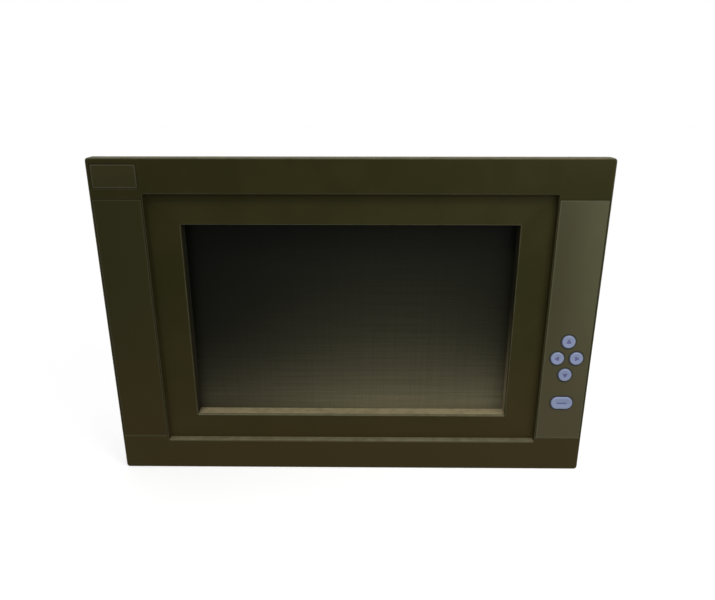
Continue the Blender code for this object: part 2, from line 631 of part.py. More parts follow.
def make_keypad():
    """Dome mat, board and ribbon behind the keys."""
    half_x = KEYPAD_HALF_WIDTH - GAP
    keypad_x = (STRIP_X - half_x, STRIP_X + half_x)
    keypad_z = (KEYPAD_BOTTOM_Z + GAP, KEYPAD_TOP_Z - GAP)
    mat = dress(box("keypad_mat", keypad_x, (MAT_Y, MAT_REAR_Y), keypad_z), "silicone")
    domes = []
    for dx, dz, stretch in KEYS.values():
        levels = (
            (DOME_Y, KEY_STEM_RADIUS),
            (MAT_Y, KEY_STEM_RADIUS + DOME_SPREAD),
            (MAT_Y + MAT_THICKNESS / 2, KEY_STEM_RADIUS + DOME_SPREAD),
        )
        rings = []
        for depth, radius in levels:
            outline = stadium(STRIP_X + dx, KEY_CLUSTER_Z + dz, stretch, radius)
            rings.append([(px, depth, pz) for px, pz in outline])
        domes.append(skin("dome", rings))
    weld(mat, gathered("domes", domes))
    board_y = (KEYPAD_BOARD_Y, KEYPAD_BOARD_REAR_Y)
    dress(box("keypad_board", keypad_x, board_y, keypad_z), "board")
    landing_y = BOARD_Y - GAP - RIBBON_THICKNESS / 2
    bend = KEYPAD_RIBBON_BEND
    path = [
        (KEYPAD_RIBBON_X, KEYPAD_BOARD_REAR_Y + GAP),
        (KEYPAD_RIBBON_X, landing_y - 2 * bend),
        (KEYPAD_RIBBON_X - bend / 2, landing_y - bend / 2),
        (KEYPAD_RIBBON_X - 2 * bend, landing_y),
        (BOARD_X - RIBBON_LANDING, landing_y),
    ]
    half = KEYPAD_RIBBON_WIDTH / 2
    rings = []
    for (px, py), (nx, ny) in zip(path, path_normals(path)):
        near = (px + nx * RIBBON_THICKNESS / 2, py + ny * RIBBON_THICKNESS / 2)
        far = (px - nx * RIBBON_THICKNESS / 2, py - ny * RIBBON_THICKNESS / 2)
        rings.append([
            (near[0], near[1], KEYPAD_RIBBON_Z - half),
            (near[0], near[1], KEYPAD_RIBBON_Z + half),
            (far[0], far[1], KEYPAD_RIBBON_Z + half),
            (far[0], far[1], KEYPAD_RIBBON_Z - half),
        ])
    dress(skin("keypad_ribbon", rings), "ribbon")


def path_normals(path):
    """Sideways unit directions of a flat path, mitred at its bends so that a strip keeps its thickness."""
    normals = []
    for i in range(len(path)):
        before = Vector(path[i]) - Vector(path[max(i - 1, 0)])
        after = Vector(path[min(i + 1, len(path) - 1)]) - Vector(path[i])
        before = before.normalized() if before.length else after.normalized()
        after = after.normalized() if after.length else before
        middle = (before + after).normalized()
        stretch = 1 / max(middle.dot(after), MITRE_LIMIT)
        normals.append((-middle.y * stretch, middle.x * stretch))
    return normals


def make_panel_gasket():
    """Flat ring that seals the bezel against the door."""
    inner_x = HOUSING_X + GASKET_CLEARANCE
    inner_z = HOUSING_Z + GASKET_CLEARANCE
    outer_x = BEZEL_X - GASKET_EDGE_MARGIN
    outer_z = BEZEL_Z - GASKET_EDGE_MARGIN
    gasket_y = (-GASKET_THICKNESS, 0.0)
    radius = CORNER_RADIUS
    gasket = dress(rounded_slab("panel_gasket", outer_x, gasket_y, outer_z, radius), "rubber")
    inside_y = (-GASKET_THICKNESS - OVERSHOOT, OVERSHOOT)
    carve(gasket, rounded_slab("inside", inner_x, inside_y, inner_z, radius))


def make_display():
    """Window lining, touch glass and the display behind it."""
    seal_y = (LIP_REAR_Y + GAP, COLLAR_Y)
    seal = dress(slab("window_seal", WINDOW_X + SEAL_GROW, seal_y, WINDOW_Z + SEAL_GROW), "lining")
    inside_y = (LIP_REAR_Y - OVERSHOOT, COLLAR_Y + OVERSHOOT)
    carve(seal, slab("inside", WINDOW_X + SEAL_SET_BACK, inside_y, WINDOW_Z + SEAL_SET_BACK))
    glass_y = (GLASS_Y, GLASS_Y + GLASS_THICKNESS)
    dress(slab("touch_glass", WINDOW_X + GLASS_MARGIN, glass_y, WINDOW_Z + GLASS_MARGIN), "glass")
    frame_y = (DISPLAY_Y, DISPLAY_REAR_Y)
    frame = dress(slab("lcd_frame", WINDOW_X + DISPLAY_GROW, frame_y, WINDOW_Z + DISPLAY_GROW), "zinc")
    inside_grow = DISPLAY_GROW - DISPLAY_FRAME_WALL
    inside_y = (DISPLAY_Y + DISPLAY_FRAME_WALL, DISPLAY_REAR_Y + OVERSHOOT)
    carve(frame, slab("inside", WINDOW_X + inside_grow, inside_y, WINDOW_Z + inside_grow))
    view_y = (DISPLAY_Y - OVERSHOOT, DISPLAY_REAR_Y)
    carve(frame, slab("view", WINDOW_X - DISPLAY_RIM, view_y, WINDOW_Z - DISPLAY_RIM))
    part_grow = inside_grow - GAP
    cell_y = (CELL_Y, CELL_Y + CELL_THICKNESS)
    dress(slab("lcd_cell", WINDOW_X + part_grow, cell_y, WINDOW_Z + part_grow), "cell")
    guide_y = (GUIDE_Y, GUIDE_Y + GUIDE_THICKNESS)
    dress(slab("lcd_light_guide", WINDOW_X + part_grow, guide_y, WINDOW_Z + part_grow), "guide")


def display_ribbon_path():
    """Side view of the display ribbon: along the display's back, then down onto the board, as Y and Z."""
    start_y = DISPLAY_REAR_Y + GAP + RIBBON_THICKNESS / 2
    landing_y = BOARD_Y - GAP - RIBBON_THICKNESS / 2
    landing_z = BOARD_TOP_Z - RIBBON_LANDING
    return [
        (start_y, BOARD_TOP_Z + DISPLAY_RIBBON_DROP + RIBBON_LANDING),
        (start_y, BOARD_TOP_Z + DISPLAY_RIBBON_DROP),
        (landing_y - DISPLAY_RIBBON_BEND_Y, BOARD_TOP_Z + DISPLAY_RIBBON_BEND_Z),
        (landing_y, BOARD_TOP_Z),
        (landing_y, landing_z),
    ]


def make_display_ribbon():
    """Flat ribbon from the display through the chassis to the main board."""
    path = display_ribbon_path()
    half = DISPLAY_RIBBON_WIDTH / 2
    rings = []
    for (py, pz), (ny, nz) in zip(path, path_normals(path)):
        near = (py + ny * RIBBON_THICKNESS / 2, pz + nz * RIBBON_THICKNESS / 2)
        far = (py - ny * RIBBON_THICKNESS / 2, pz - nz * RIBBON_THICKNESS / 2)
        rings.append([(-half, *near), (half, *near), (half, *far), (-half, *far)])
    dress(skin("display_ribbon", rings), "ribbon")


def board_holes():
    """Places of the main board's four fixing holes."""
    hole_x = BOARD_X - BOARD_HOLE_INSET
    top_z = BOARD_TOP_Z - BOARD_HOLE_INSET
    bottom_z = BOARD_BOTTOM_Z + BOARD_HOLE_INSET
    return [(-hole_x, top_z), (hole_x, top_z), (-hole_x, bottom_z), (hole_x, bottom_z)]


def make_chassis():
    """Sheet plate behind the display, with pressed-in posts for the board and the rear housing."""
    chassis_y = (CHASSIS_Y, CHASSIS_REAR_Y)
    plate = slab("chassis_plate", CHASSIS_X, chassis_y, CHASSIS_Z)
    foot_y = CHASSIS_REAR_Y - CHASSIS_THICKNESS / 2
    cover_length = HOUSING_DEPTH - HOUSING_WALL - GAP - foot_y
    board_length = BOARD_Y - GAP - foot_y
    cover_posts = four_corners(COVER_POST_X, COVER_POST_Z)
    weld(plate, gathered("posts", [
        rod("post", (px, foot_y, pz), (0, 1, 0), COVER_POST_RADIUS, cover_length) for px, pz in cover_posts
    ] + [
        rod("post", (px, foot_y, pz), (0, 1, 0), BOARD_POST_RADIUS, board_length) for px, pz in board_holes()
    ]))
    cover_pilot_y = HOUSING_DEPTH - HOUSING_WALL - GAP - PILOT_DEPTH
    holes = [
        rod("hole", (px, cover_pilot_y, pz), (0, 1, 0), SCREW_HOLE_RADIUS, PILOT_DEPTH + OVERSHOOT)
        for px, pz in cover_posts
    ]
    board_pilot_y = BOARD_Y - GAP - PILOT_DEPTH
    holes += [
        rod("hole", (px, board_pilot_y, pz), (0, 1, 0), SCREW_HOLE_RADIUS, PILOT_DEPTH + OVERSHOOT)
        for px, pz in board_holes()
    ]
    through = CHASSIS_THICKNESS + 2 * OVERSHOOT
    holes += [
        rod("hole", (bx, CHASSIS_Y - OVERSHOOT, bz), (0, 1, 0), SCREW_HOLE_RADIUS, through)
        for bx, bz in four_corners(BOSS_X, BOSS_Z)
    ]
    slot_x = DISPLAY_RIBBON_WIDTH / 2 + 2 * GAP
    slot_top = BOARD_TOP_Z + DISPLAY_RIBBON_DROP + RIBBON_LANDING + 2 * GAP
    slot_y = (CHASSIS_Y - OVERSHOOT, CHASSIS_REAR_Y + OVERSHOOT)
    holes.append(box("slot", (-slot_x, slot_x), slot_y, (BOARD_TOP_Z, slot_top)))
    carve(plate, gathered("holes", holes))
    dress(plate, "zinc")


def pan_screw(name, x, seat_y, z, length=SCREW_LENGTH, radius=SCREW_RADIUS):
    """Slotted pan-head screw driven forward along -Y, its head resting just behind a seat."""
    under_head = seat_y + GAP
    head = SCREW_HEAD_RADIUS
    screw = turned(name, (x, under_head, z), (0, 1, 0), [
        (-length, radius),
        (0.0, radius),
        (0.0, head),
        (SCREW_HEAD_HEIGHT * PAN_EDGE_SHARE, head),
        (SCREW_HEAD_HEIGHT, head * PAN_CROWN_SHARE),
    ])
    slot_y = (under_head + SCREW_HEAD_HEIGHT - DRIVE_SLOT_DEPTH, under_head + SCREW_HEAD_HEIGHT + OVERSHOOT)
    half = DRIVE_SLOT_WIDTH / 2
    carve(screw, box("slot", (x - half, x + half), slot_y, (z - 2 * head, z + 2 * head)))
    return dress(screw, "steel")


def make_screws():
    """Screws of the chassis, the main board and the rear housing."""
    rows = (
        ("chassis_screw", CHASSIS_REAR_Y, four_corners(BOSS_X, BOSS_Z)),
        ("board_screw", BOARD_REAR_Y, board_holes()),
        ("cover_screw", HOUSING_DEPTH, four_corners(COVER_POST_X, COVER_POST_Z)),
    )
    for name, seat_y, places in rows:
        for number, (x, z) in enumerate(places, start=1):
            pan_screw(f"{name}_{number}", x, seat_y, z)


def make_main_board():
    """Main board with its processor, heat sink, capacitor and coin cell."""
    board_x = (-BOARD_X, BOARD_X)
    board = box("main_board", board_x, (BOARD_Y, BOARD_REAR_Y), (BOARD_BOTTOM_Z, BOARD_TOP_Z))
    through = BOARD_THICKNESS + 2 * OVERSHOOT
    carve(board, gathered("holes", [
        rod("hole", (x, BOARD_Y - OVERSHOOT, z), (0, 1, 0), SCREW_HOLE_RADIUS, through)
        for x, z in board_holes()
    ]))
    dress(board, "board")
    half = PROCESSOR_SIDE / 2
    chip_x = (PROCESSOR_X - half, PROCESSOR_X + half)
    chip_z = (PROCESSOR_Z - half, PROCESSOR_Z + half)
    dress(box("processor", chip_x, (PORT_Y, PORT_Y + PROCESSOR_THICKNESS), chip_z), "chip")
    half = HEAT_SINK_SIDE / 2
    sink_x = (PROCESSOR_X - half, PROCESSOR_X + half)
    sink_z = (PROCESSOR_Z - half, PROCESSOR_Z + half)
    fin_y = HEAT_SINK_Y + HEAT_SINK_BASE
    sink = dress(box("heat_sink", sink_x, (HEAT_SINK_Y, HEAT_SINK_REAR_Y), sink_z), "aluminium")
    pitch = (HEAT_SINK_SIDE - FIN_THICKNESS) / (FIN_COUNT - 1)
    channels = []
    for i in range(FIN_COUNT - 1):
        left = sink_x[0] + i * pitch + FIN_THICKNESS
        channel_y = (fin_y, HEAT_SINK_REAR_Y + OVERSHOOT)
        channel_z = (sink_z[0] - OVERSHOOT, sink_z[1] + OVERSHOOT)
        channels.append(box("channel", (left, left + pitch - FIN_THICKNESS), channel_y, channel_z))
    carve(sink, gathered("channels", channels))
    can = turned("capacitor", (CAPACITOR_X, PORT_Y, CAPACITOR_Z), (0, 1, 0), [
        (0.0, CAPACITOR_RADIUS),
        (CAPACITOR_LENGTH - CAPACITOR_CHAMFER, CAPACITOR_RADIUS),
        (CAPACITOR_LENGTH, CAPACITOR_RADIUS - CAPACITOR_CHAMFER),
    ])
    dress(can, "sleeve")
    cell = turned("coin_cell", (COIN_CELL_X, PORT_Y, COIN_CELL_Z), (0, 1, 0), [
        (0.0, COIN_CELL_RADIUS - COIN_CELL_CHAMFER),
        (COIN_CELL_CHAMFER, COIN_CELL_RADIUS),
        (COIN_CELL_THICKNESS, COIN_CELL_RADIUS),
    ])
    dress(cell, "steel")


def make_network_socket():
    """Network socket in the bottom wall, open downwards."""
    x = (NETWORK_X - NETWORK_WIDTH / 2, NETWORK_X + NETWORK_WIDTH / 2)
    y = (PORT_Y, PORT_Y + NETWORK_HEIGHT)
    socket = dress(box("network_socket", x, y, (-HOUSING_Z, NETWORK_LENGTH - HOUSING_Z)), "steel")
    roof_y = y[1] - NETWORK_ROOF - NETWORK_LATCH_HEIGHT
    mouth_x = (x[0] + NETWORK_SIDE_WALL, x[1] - NETWORK_SIDE_WALL)
    mouth_z = (-HOUSING_Z - OVERSHOOT, NETWORK_LENGTH - NETWORK_BACK - HOUSING_Z)
    carve(socket, box("mouth", mouth_x, (y[0] + NETWORK_FLOOR, roof_y), mouth_z))
    latch_x = (NETWORK_X - NETWORK_LATCH_WIDTH / 2, NETWORK_X + NETWORK_LATCH_WIDTH / 2)
    latch_y = (roof_y - OVERSHOOT, roof_y + NETWORK_LATCH_HEIGHT)
    latch_z = (-HOUSING_Z - OVERSHOOT, NETWORK_LENGTH - NETWORK_LATCH_BACK - HOUSING_Z)
    carve(socket, box("latch", latch_x, latch_y, latch_z))


def make_usb_socket():
    """Flat socket with a contact tongue, open downwards."""
    x = (USB_X - USB_WIDTH / 2, USB_X + USB_WIDTH / 2)
    y = (PORT_Y, PORT_Y + USB_HEIGHT)
    socket = dress(box("usb_socket", x, y, (-HOUSING_Z, USB_LENGTH - HOUSING_Z)), "steel")
    floor_z = USB_LENGTH - USB_BACK - HOUSING_Z
    mouth_z = (-HOUSING_Z - OVERSHOOT, floor_z)
    mouth = box("mouth", (x[0] + USB_SHELL, x[1] - USB_SHELL), (y[0] + USB_SHELL, y[1] - USB_SHELL), mouth_z)
    carve(socket, mouth)
    half_x = USB_TONGUE_WIDTH / 2
    tongue_y = y[0] + USB_HEIGHT / 2
    tongue_z = (floor_z - USB_TONGUE_LENGTH, floor_z + OVERSHOOT)
    tongue_x = (USB_X - half_x, USB_X + half_x)
    weld(socket, box("tongue", tongue_x, (tongue_y, tongue_y + USB_TONGUE_THICKNESS), tongue_z))


def serial_outline(grow, z):
    """D-shaped outline of the serial port at one height, wider towards the board."""
    half = SERIAL_WIDTH / 2 + grow
    middle_y = serial_y()
    near = middle_y - SERIAL_HEIGHT / 2 - grow
    far = middle_y + SERIAL_HEIGHT / 2 + grow
    return [
        (SERIAL_X - half, near, z),
        (SERIAL_X + half, near, z),
        (SERIAL_X + half - SERIAL_TAPER, far, z),
        (SERIAL_X - half + SERIAL_TAPER, far, z),
    ]


def serial_y():
    """Middle of the serial port's height above the board."""
    return PORT_Y + SERIAL_FLANGE_HEIGHT / 2


def make_serial_port():
    """Nine-way port: flange behind the wall, D-shaped face through it, and two jack posts."""
    flange_z = GAP - INSIDE_Z
    flange_top = flange_z + SERIAL_FLANGE_THICKNESS
    middle_y = serial_y()
    half_x = SERIAL_FLANGE_WIDTH / 2
    half_y = SERIAL_FLANGE_HEIGHT / 2
    flange_y = (middle_y - half_y, middle_y + half_y)
    port = box("serial_port", (SERIAL_X - half_x, SERIAL_X + half_x), flange_y, (flange_z, flange_top))
    face_z = -HOUSING_Z - SERIAL_PROUD
    body_z = flange_top + SERIAL_BODY_LENGTH
    weld(port, skin("face", [serial_outline(0.0, face_z), serial_outline(0.0, body_z)]))
    post_z = -HOUSING_Z - JACK_POST_PROUD
    posts = []
    bores = []
    for side in (-1, 1):
        post = (SERIAL_X + side * JACK_POST_SPACING / 2, middle_y, post_z)
        length = flange_z + SERIAL_FLANGE_THICKNESS / 2 - post_z
        posts.append(rod("post", post, (0, 0, 1), JACK_POST_RADIUS, length, HEX_SIDES))
        start = (post[0], post[1], post_z - OVERSHOOT)
        bores.append(rod("bore", start, (0, 0, 1), JACK_POST_BORE, JACK_POST_PROUD + OVERSHOOT))
    weld(port, gathered("jack_posts", posts))
    row_y = SERIAL_ROW_PITCH / 2
    pin_length = SERIAL_PIN_DEPTH + OVERSHOOT
    for count, row in ((5, -row_y), (4, row_y)):
        for i in range(count):
            pin_x = SERIAL_X + (i - (count - 1) / 2) * SERIAL_PIN_PITCH
            start = (pin_x, middle_y + row, face_z - OVERSHOOT)
            bores.append(rod("bore", start, (0, 0, 1), SERIAL_PIN_RADIUS, pin_length, HEX_SIDES))
    carve(port, gathered("bores", bores))
    dress(port, "zinc")


def power_y():
    """Middle of the power plug's height above the board."""
    return PORT_Y + POWER_HEADER_WALL + GAP + POWER_NOSE_HEIGHT / 2


def make_power_plug():
    """Board header, and the plug that slides down out of it with its two wire screws."""
    middle_y = power_y()
    nose_x = POWER_NOSE_WIDTH / 2
    nose_y = POWER_NOSE_HEIGHT / 2
    mouth_z = GAP - INSIDE_Z
    nose_top = mouth_z + POWER_NOSE_LENGTH
    floor_z = nose_top + GAP
    reach = POWER_HEADER_WALL + GAP
    header = box(
        "power_header",
        (POWER_X - nose_x - reach, POWER_X + nose_x + reach),
        (middle_y - nose_y - reach, middle_y + nose_y + reach),
        (mouth_z, floor_z + POWER_HEADER_BACK),
    )
    carve(header, box(
        "mouth",
        (POWER_X - nose_x - GAP, POWER_X + nose_x + GAP),
        (middle_y - nose_y - GAP, middle_y + nose_y + GAP),
        (mouth_z - OVERSHOOT, floor_z),
    ))
    body_top = -HOUSING_Z - GAP
    body_z = (body_top - POWER_BODY_LENGTH, body_top)
    body_y = (middle_y - POWER_BODY_HEIGHT / 2, middle_y + POWER_BODY_HEIGHT / 2)
    plug = box("power_plug", (POWER_X - POWER_BODY_WIDTH / 2, POWER_X + POWER_BODY_WIDTH / 2), body_y, body_z)
    weld(plug, box(
        "nose",
        (POWER_X - nose_x, POWER_X + nose_x),
        (middle_y - nose_y, middle_y + nose_y),
        (body_top - OVERSHOOT, nose_top),
    ))
    pins = []
    bores = []
    half = POWER_PIN_SIDE / 2
    screw_z = (body_z[0] + body_z[1]) / 2
    seat_depth = TERMINAL_SCREW_SET_BACK + TERMINAL_SCREW_LENGTH + GAP
    for number, side in enumerate((-1, 1), start=1):
        x = POWER_X + side * POWER_PIN_PITCH / 2
        pin_x = (x - half, x + half)
        pin_y = (middle_y - half, middle_y + half)
        pins.append(box("pin", pin_x, pin_y, (floor_z - POWER_PIN_LENGTH, floor_z + OVERSHOOT)))
        hole_x = (x - half - GAP, x + half + GAP)
        hole_y = (middle_y - half - GAP, middle_y + half + GAP)
        hole_z = (floor_z - POWER_PIN_LENGTH - GAP, nose_top + OVERSHOOT)
        bores.append(box("hole", hole_x, hole_y, hole_z))
        wire = (x, middle_y, body_z[0] - OVERSHOOT)
        bores.append(rod("wire", wire, (0, 0, 1), WIRE_HOLE_RADIUS, WIRE_HOLE_DEPTH + OVERSHOOT))
        seat = (x, body_y[1] - seat_depth, screw_z)
        bores.append(rod("seat", seat, (0, 1, 0), TERMINAL_SCREW_RADIUS + GAP, seat_depth + OVERSHOOT))
        start = (x, body_y[1] - seat_depth + GAP, screw_z)
        name = f"terminal_screw_{number}"
        screw = rod(name, start, (0, 1, 0), TERMINAL_SCREW_RADIUS, TERMINAL_SCREW_LENGTH)
        head_y = start[1] + TERMINAL_SCREW_LENGTH
        slot_x = (x - DRIVE_SLOT_WIDTH / 2, x + DRIVE_SLOT_WIDTH / 2)
        slot_y = (head_y - DRIVE_SLOT_DEPTH, head_y + OVERSHOOT)
        reach_z = 2 * TERMINAL_SCREW_RADIUS
        carve(screw, box("slot", slot_x, slot_y, (screw_z - reach_z, screw_z + reach_z)))
        dress(screw, "steel")
    weld(header, gathered("pins", pins))
    carve(plug, gathered("bores", bores))
    dress(header, "terminal")
    dress(plug, "terminal")
    seat_origin(plug, (POWER_X, middle_y, body_top))


def make_earth_stud():
    """Earth stud through the bottom wall, with its nut outside."""
    head_z = GAP - INSIDE_Z
    length = EARTH_LENGTH + HOUSING_WALL + GAP
    stud = turned("earth_stud", (EARTH_X, EARTH_Y, head_z), (0, 0, -1), [
        (-EARTH_HEAD_THICKNESS, EARTH_HEAD_RADIUS),
        (0.0, EARTH_HEAD_RADIUS),
        (0.0, EARTH_RADIUS),
        (length, EARTH_RADIUS),
    ])
    dress(stud, "brass")
    nut_z = -HOUSING_Z - GAP
    nut_start = (EARTH_X, EARTH_Y, nut_z)
    nut = rod("earth_nut", nut_start, (0, 0, -1), EARTH_NUT_RADIUS, EARTH_NUT_THICKNESS, HEX_SIDES)
    bore = (EARTH_X, EARTH_Y, nut_z + OVERSHOOT)
    carve(nut, rod("bore", bore, (0, 0, -1), EARTH_RADIUS + GAP, EARTH_NUT_THICKNESS + 2 * OVERSHOOT))
    dress(nut, "brass")


def make_rear_housing():
    """Open-fronted case with vents, port openings and clamp slots."""
    housing_y = (RING_Y + GAP, HOUSING_DEPTH)
    housing = rounded_slab("rear_housing", HOUSING_X, housing_y, HOUSING_Z, HOUSING_CORNER_RADIUS)
    inside_y = (RING_Y - OVERSHOOT, HOUSING_DEPTH - HOUSING_WALL)
    inner_radius = HOUSING_CORNER_RADIUS - HOUSING_WALL / 2
    carve(housing, rounded_slab("inside", INSIDE_X, inside_y, INSIDE_Z, inner_radius))
    rear_y = (HOUSING_DEPTH - HOUSING_WALL - OVERSHOOT, HOUSING_DEPTH + OVERSHOOT)
    vent_z = (VENT_GROUP_Z - VENT_LENGTH / 2, VENT_GROUP_Z + VENT_LENGTH / 2)
    slots = []
    for side in (-1, 1):
        for i in range(VENT_COUNT):
            x = side * VENT_GROUP_X + (i - (VENT_COUNT - 1) / 2) * VENT_PITCH
            slot_x = (x - VENT_WIDTH / 2, x + VENT_WIDTH / 2)
            slots.append(box("slot", slot_x, rear_y, vent_z))
    vent_rear = HOUSING_DEPTH - TOP_VENT_REAR_MARGIN
    top_z = (INSIDE_Z - OVERSHOOT, HOUSING_Z + OVERSHOOT)
    for i in range(TOP_VENT_COUNT):
        x = (i - (TOP_VENT_COUNT - 1) / 2) * VENT_PITCH
        slot_x = (x - VENT_WIDTH / 2, x + VENT_WIDTH / 2)
        slots.append(box("slot", slot_x, (vent_rear - TOP_VENT_LENGTH, vent_rear), top_z))
    hole_length = HOUSING_WALL + 2 * OVERSHOOT
    for x, z in four_corners(COVER_POST_X, COVER_POST_Z):
        slots.append(rod("hole", (x, rear_y[0], z), (0, 1, 0), SCREW_HOLE_RADIUS, hole_length))
    carve(housing, gathered("rear_openings", slots))
    carve(housing, gathered("port_openings", port_openings()))
    half_slot = CLAMP_TAB_WIDTH / 2 + GAP
    slot_height = (-HOUSING_WALL - OVERSHOOT, OVERSHOOT)
    carve(housing, gathered("clamp_slots", [
        clamp_box("slot", x, side, half_slot, tab_limits(GAP), slot_height) for x, side in clamp_places()
    ]))
    dress(housing, "zinc")


def port_openings():
    """Helpers for the openings of the bottom wall, one for each port and the earth stud."""
    wall_z = (-HOUSING_Z - OVERSHOOT, OVERSHOOT - INSIDE_Z)
    hole_length = HOUSING_WALL + 2 * OVERSHOOT
    openings = []
    sockets = (
        (NETWORK_X, NETWORK_WIDTH, PORT_Y, NETWORK_HEIGHT),
        (USB_X, USB_WIDTH, PORT_Y, USB_HEIGHT),
        (POWER_X, POWER_NOSE_WIDTH, power_y() - POWER_NOSE_HEIGHT / 2, POWER_NOSE_HEIGHT),
    )
    for x, width, y, height in sockets:
        half = width / 2 + GAP
        openings.append(box("opening", (x - half, x + half), (y - GAP, y + height + GAP), wall_z))
    openings.append(skin("opening", [serial_outline(GAP, wall_z[0]), serial_outline(GAP, wall_z[1])]))
    for side in (-1, 1):
        post = (SERIAL_X + side * JACK_POST_SPACING / 2, serial_y(), wall_z[0])
        openings.append(rod("opening", post, (0, 0, 1), JACK_POST_RADIUS + GAP, hole_length))
    openings.append(rod("opening", (EARTH_X, EARTH_Y, wall_z[0]), (0, 0, 1), EARTH_RADIUS + GAP, hole_length))
    return openings


def make_rating_plate():
    """Bare plate on the rear wall."""
    plate_y = (HOUSING_DEPTH + GAP, HOUSING_DEPTH + GAP + RATING_THICKNESS)
    half_x = RATING_WIDTH / 2
    half_z = RATING_HEIGHT / 2
    plate = box("rating_plate", (-half_x, half_x), plate_y, (RATING_Z - half_z, RATING_Z + half_z))
    dress(plate, "label")


def clamp_places():
    """Place along the wall and wall side of each clamp: top left, top right, bottom left, bottom right."""
    return [(-CLAMP_X, 1), (CLAMP_X, 1), (-CLAMP_X, -1), (CLAMP_X, -1)]


def clamp_box(name, x, side, half_x, y, height):
    """Box on the top or bottom wall, with its height measured outwards from the wall."""
    ends = sorted(side * (HOUSING_Z + h) for h in height)
    return box(name, (x - half_x, x + half_x), y, ends)


def tab_limits(grow):
    """Y limits of a clamp's tab through the wall."""
    middle = CLAMP_BLOCK_Y + CLAMP_BLOCK_LENGTH / 2
    half = CLAMP_TAB_LENGTH / 2 + grow
    return (middle - half, middle + half)


def make_clamps():
    """Mounting clamps: a hook in the wall, a pressure foot, and the screw that drives it at the door."""
    block_y = (CLAMP_BLOCK_Y, CLAMP_BLOCK_Y + CLAMP_BLOCK_LENGTH)
    tab_y = tab_limits(0.0)
    lip_top = -HOUSING_WALL - GAP
    tab_end = lip_top - CLAMP_LIP_THICKNESS
    lip_thickness = CLAMP_LIP_THICKNESS - CLAMP_LIP_STEP
    for number, (x, side) in enumerate(clamp_places(), start=1):
        axis_z = side * (HOUSING_Z + CLAMP_AXIS_HEIGHT)
        hook = clamp_box(f"clamp_hook_{number}", x, side, CLAMP_WIDTH / 2, block_y, (GAP, GAP + CLAMP_HEIGHT))
        half_tab = CLAMP_TAB_WIDTH / 2
        tab_height = (tab_end, GAP + OVERSHOOT)
        weld(hook, clamp_box("tab", x, side, half_tab, tab_y, tab_height))
        lip_y = (tab_y[0] - CLAMP_LIP_LENGTH, tab_y[1] - GAP)
        weld(hook, clamp_box("lip", x, side, half_tab - GAP, lip_y, (lip_top - lip_thickness, lip_top)))
        bore_start = (x, CLAMP_BLOCK_Y - OVERSHOOT, axis_z)
        bore_length = CLAMP_BLOCK_LENGTH + 2 * OVERSHOOT
        carve(hook, rod("bore", bore_start, (0, 1, 0), CLAMP_SCREW_RADIUS + GAP, bore_length))
        dress(hook, "zinc")
        make_clamp_foot(number, x, axis_z)
        make_clamp_screw(number, x, axis_z)


def make_clamp_foot(number, x, axis_z):
    """Round pad that presses on the door, with a socket for the screw's tip."""
    foot = turned(f"clamp_foot_{number}", (x, CLAMP_REST_GAP, axis_z), (0, 1, 0), [
        (0.0, CLAMP_FOOT_RADIUS),
        (CLAMP_FOOT_LENGTH - CLAMP_FOOT_CHAMFER, CLAMP_FOOT_RADIUS),
        (CLAMP_FOOT_LENGTH, CLAMP_FOOT_RADIUS - CLAMP_FOOT_CHAMFER),
    ])
    socket = (x, CLAMP_FOOT_REAR_Y - CLAMP_SOCKET_DEPTH, axis_z)
    carve(foot, rod("socket", socket, (0, 1, 0), CLAMP_SCREW_RADIUS + GAP, CLAMP_SOCKET_DEPTH + OVERSHOOT))
    dress(foot, "rubber")
    seat_origin(foot, (x, CLAMP_REST_GAP, axis_z))


def make_clamp_screw(number, x, axis_z):
    """Slotted screw whose tip turns in the foot's socket."""
    shaft = CLAMP_HEAD_Y - CLAMP_TIP_Y
    screw = turned(f"clamp_screw_{number}", (x, CLAMP_TIP_Y, axis_z), (0, 1, 0), [
        (0.0, CLAMP_SCREW_RADIUS),
        (shaft, CLAMP_SCREW_RADIUS),
        (shaft, CLAMP_HEAD_RADIUS),
        (shaft + CLAMP_HEAD_LENGTH, CLAMP_HEAD_RADIUS),
    ])
    head_end = CLAMP_HEAD_Y + CLAMP_HEAD_LENGTH
    half = DRIVE_SLOT_WIDTH / 2
    reach = 2 * CLAMP_HEAD_RADIUS
    slot_y = (head_end - 2 * DRIVE_SLOT_DEPTH, head_end + OVERSHOOT)
    carve(screw, box("slot", (x - half, x + half), slot_y, (axis_z - reach, axis_z + reach)))
    dress(screw, "steel")
    seat_origin(screw, (x, CLAMP_TIP_Y, axis_z))


def main():
    """Builds the panel from the front to the back."""
    clear_scene()
    make_front_bezel()
    make_films()
    make_keys()
    make_keypad()
    make_panel_gasket()
    make_display()
    make_display_ribbon()
    make_chassis()
    make_screws()
    make_main_board()
    make_network_socket()
    make_usb_socket()
    make_serial_port()
    make_power_plug()
    make_earth_stud()
    make_rear_housing()
    make_rating_plate()
    make_clamps()


main()
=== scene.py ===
"""Dresses the operator panel: moulded front, touch display, key strip, rear case, sockets and door clamps."""

import json
import logging
import math
from dataclasses import dataclass
from enum import Enum
from typing import Any

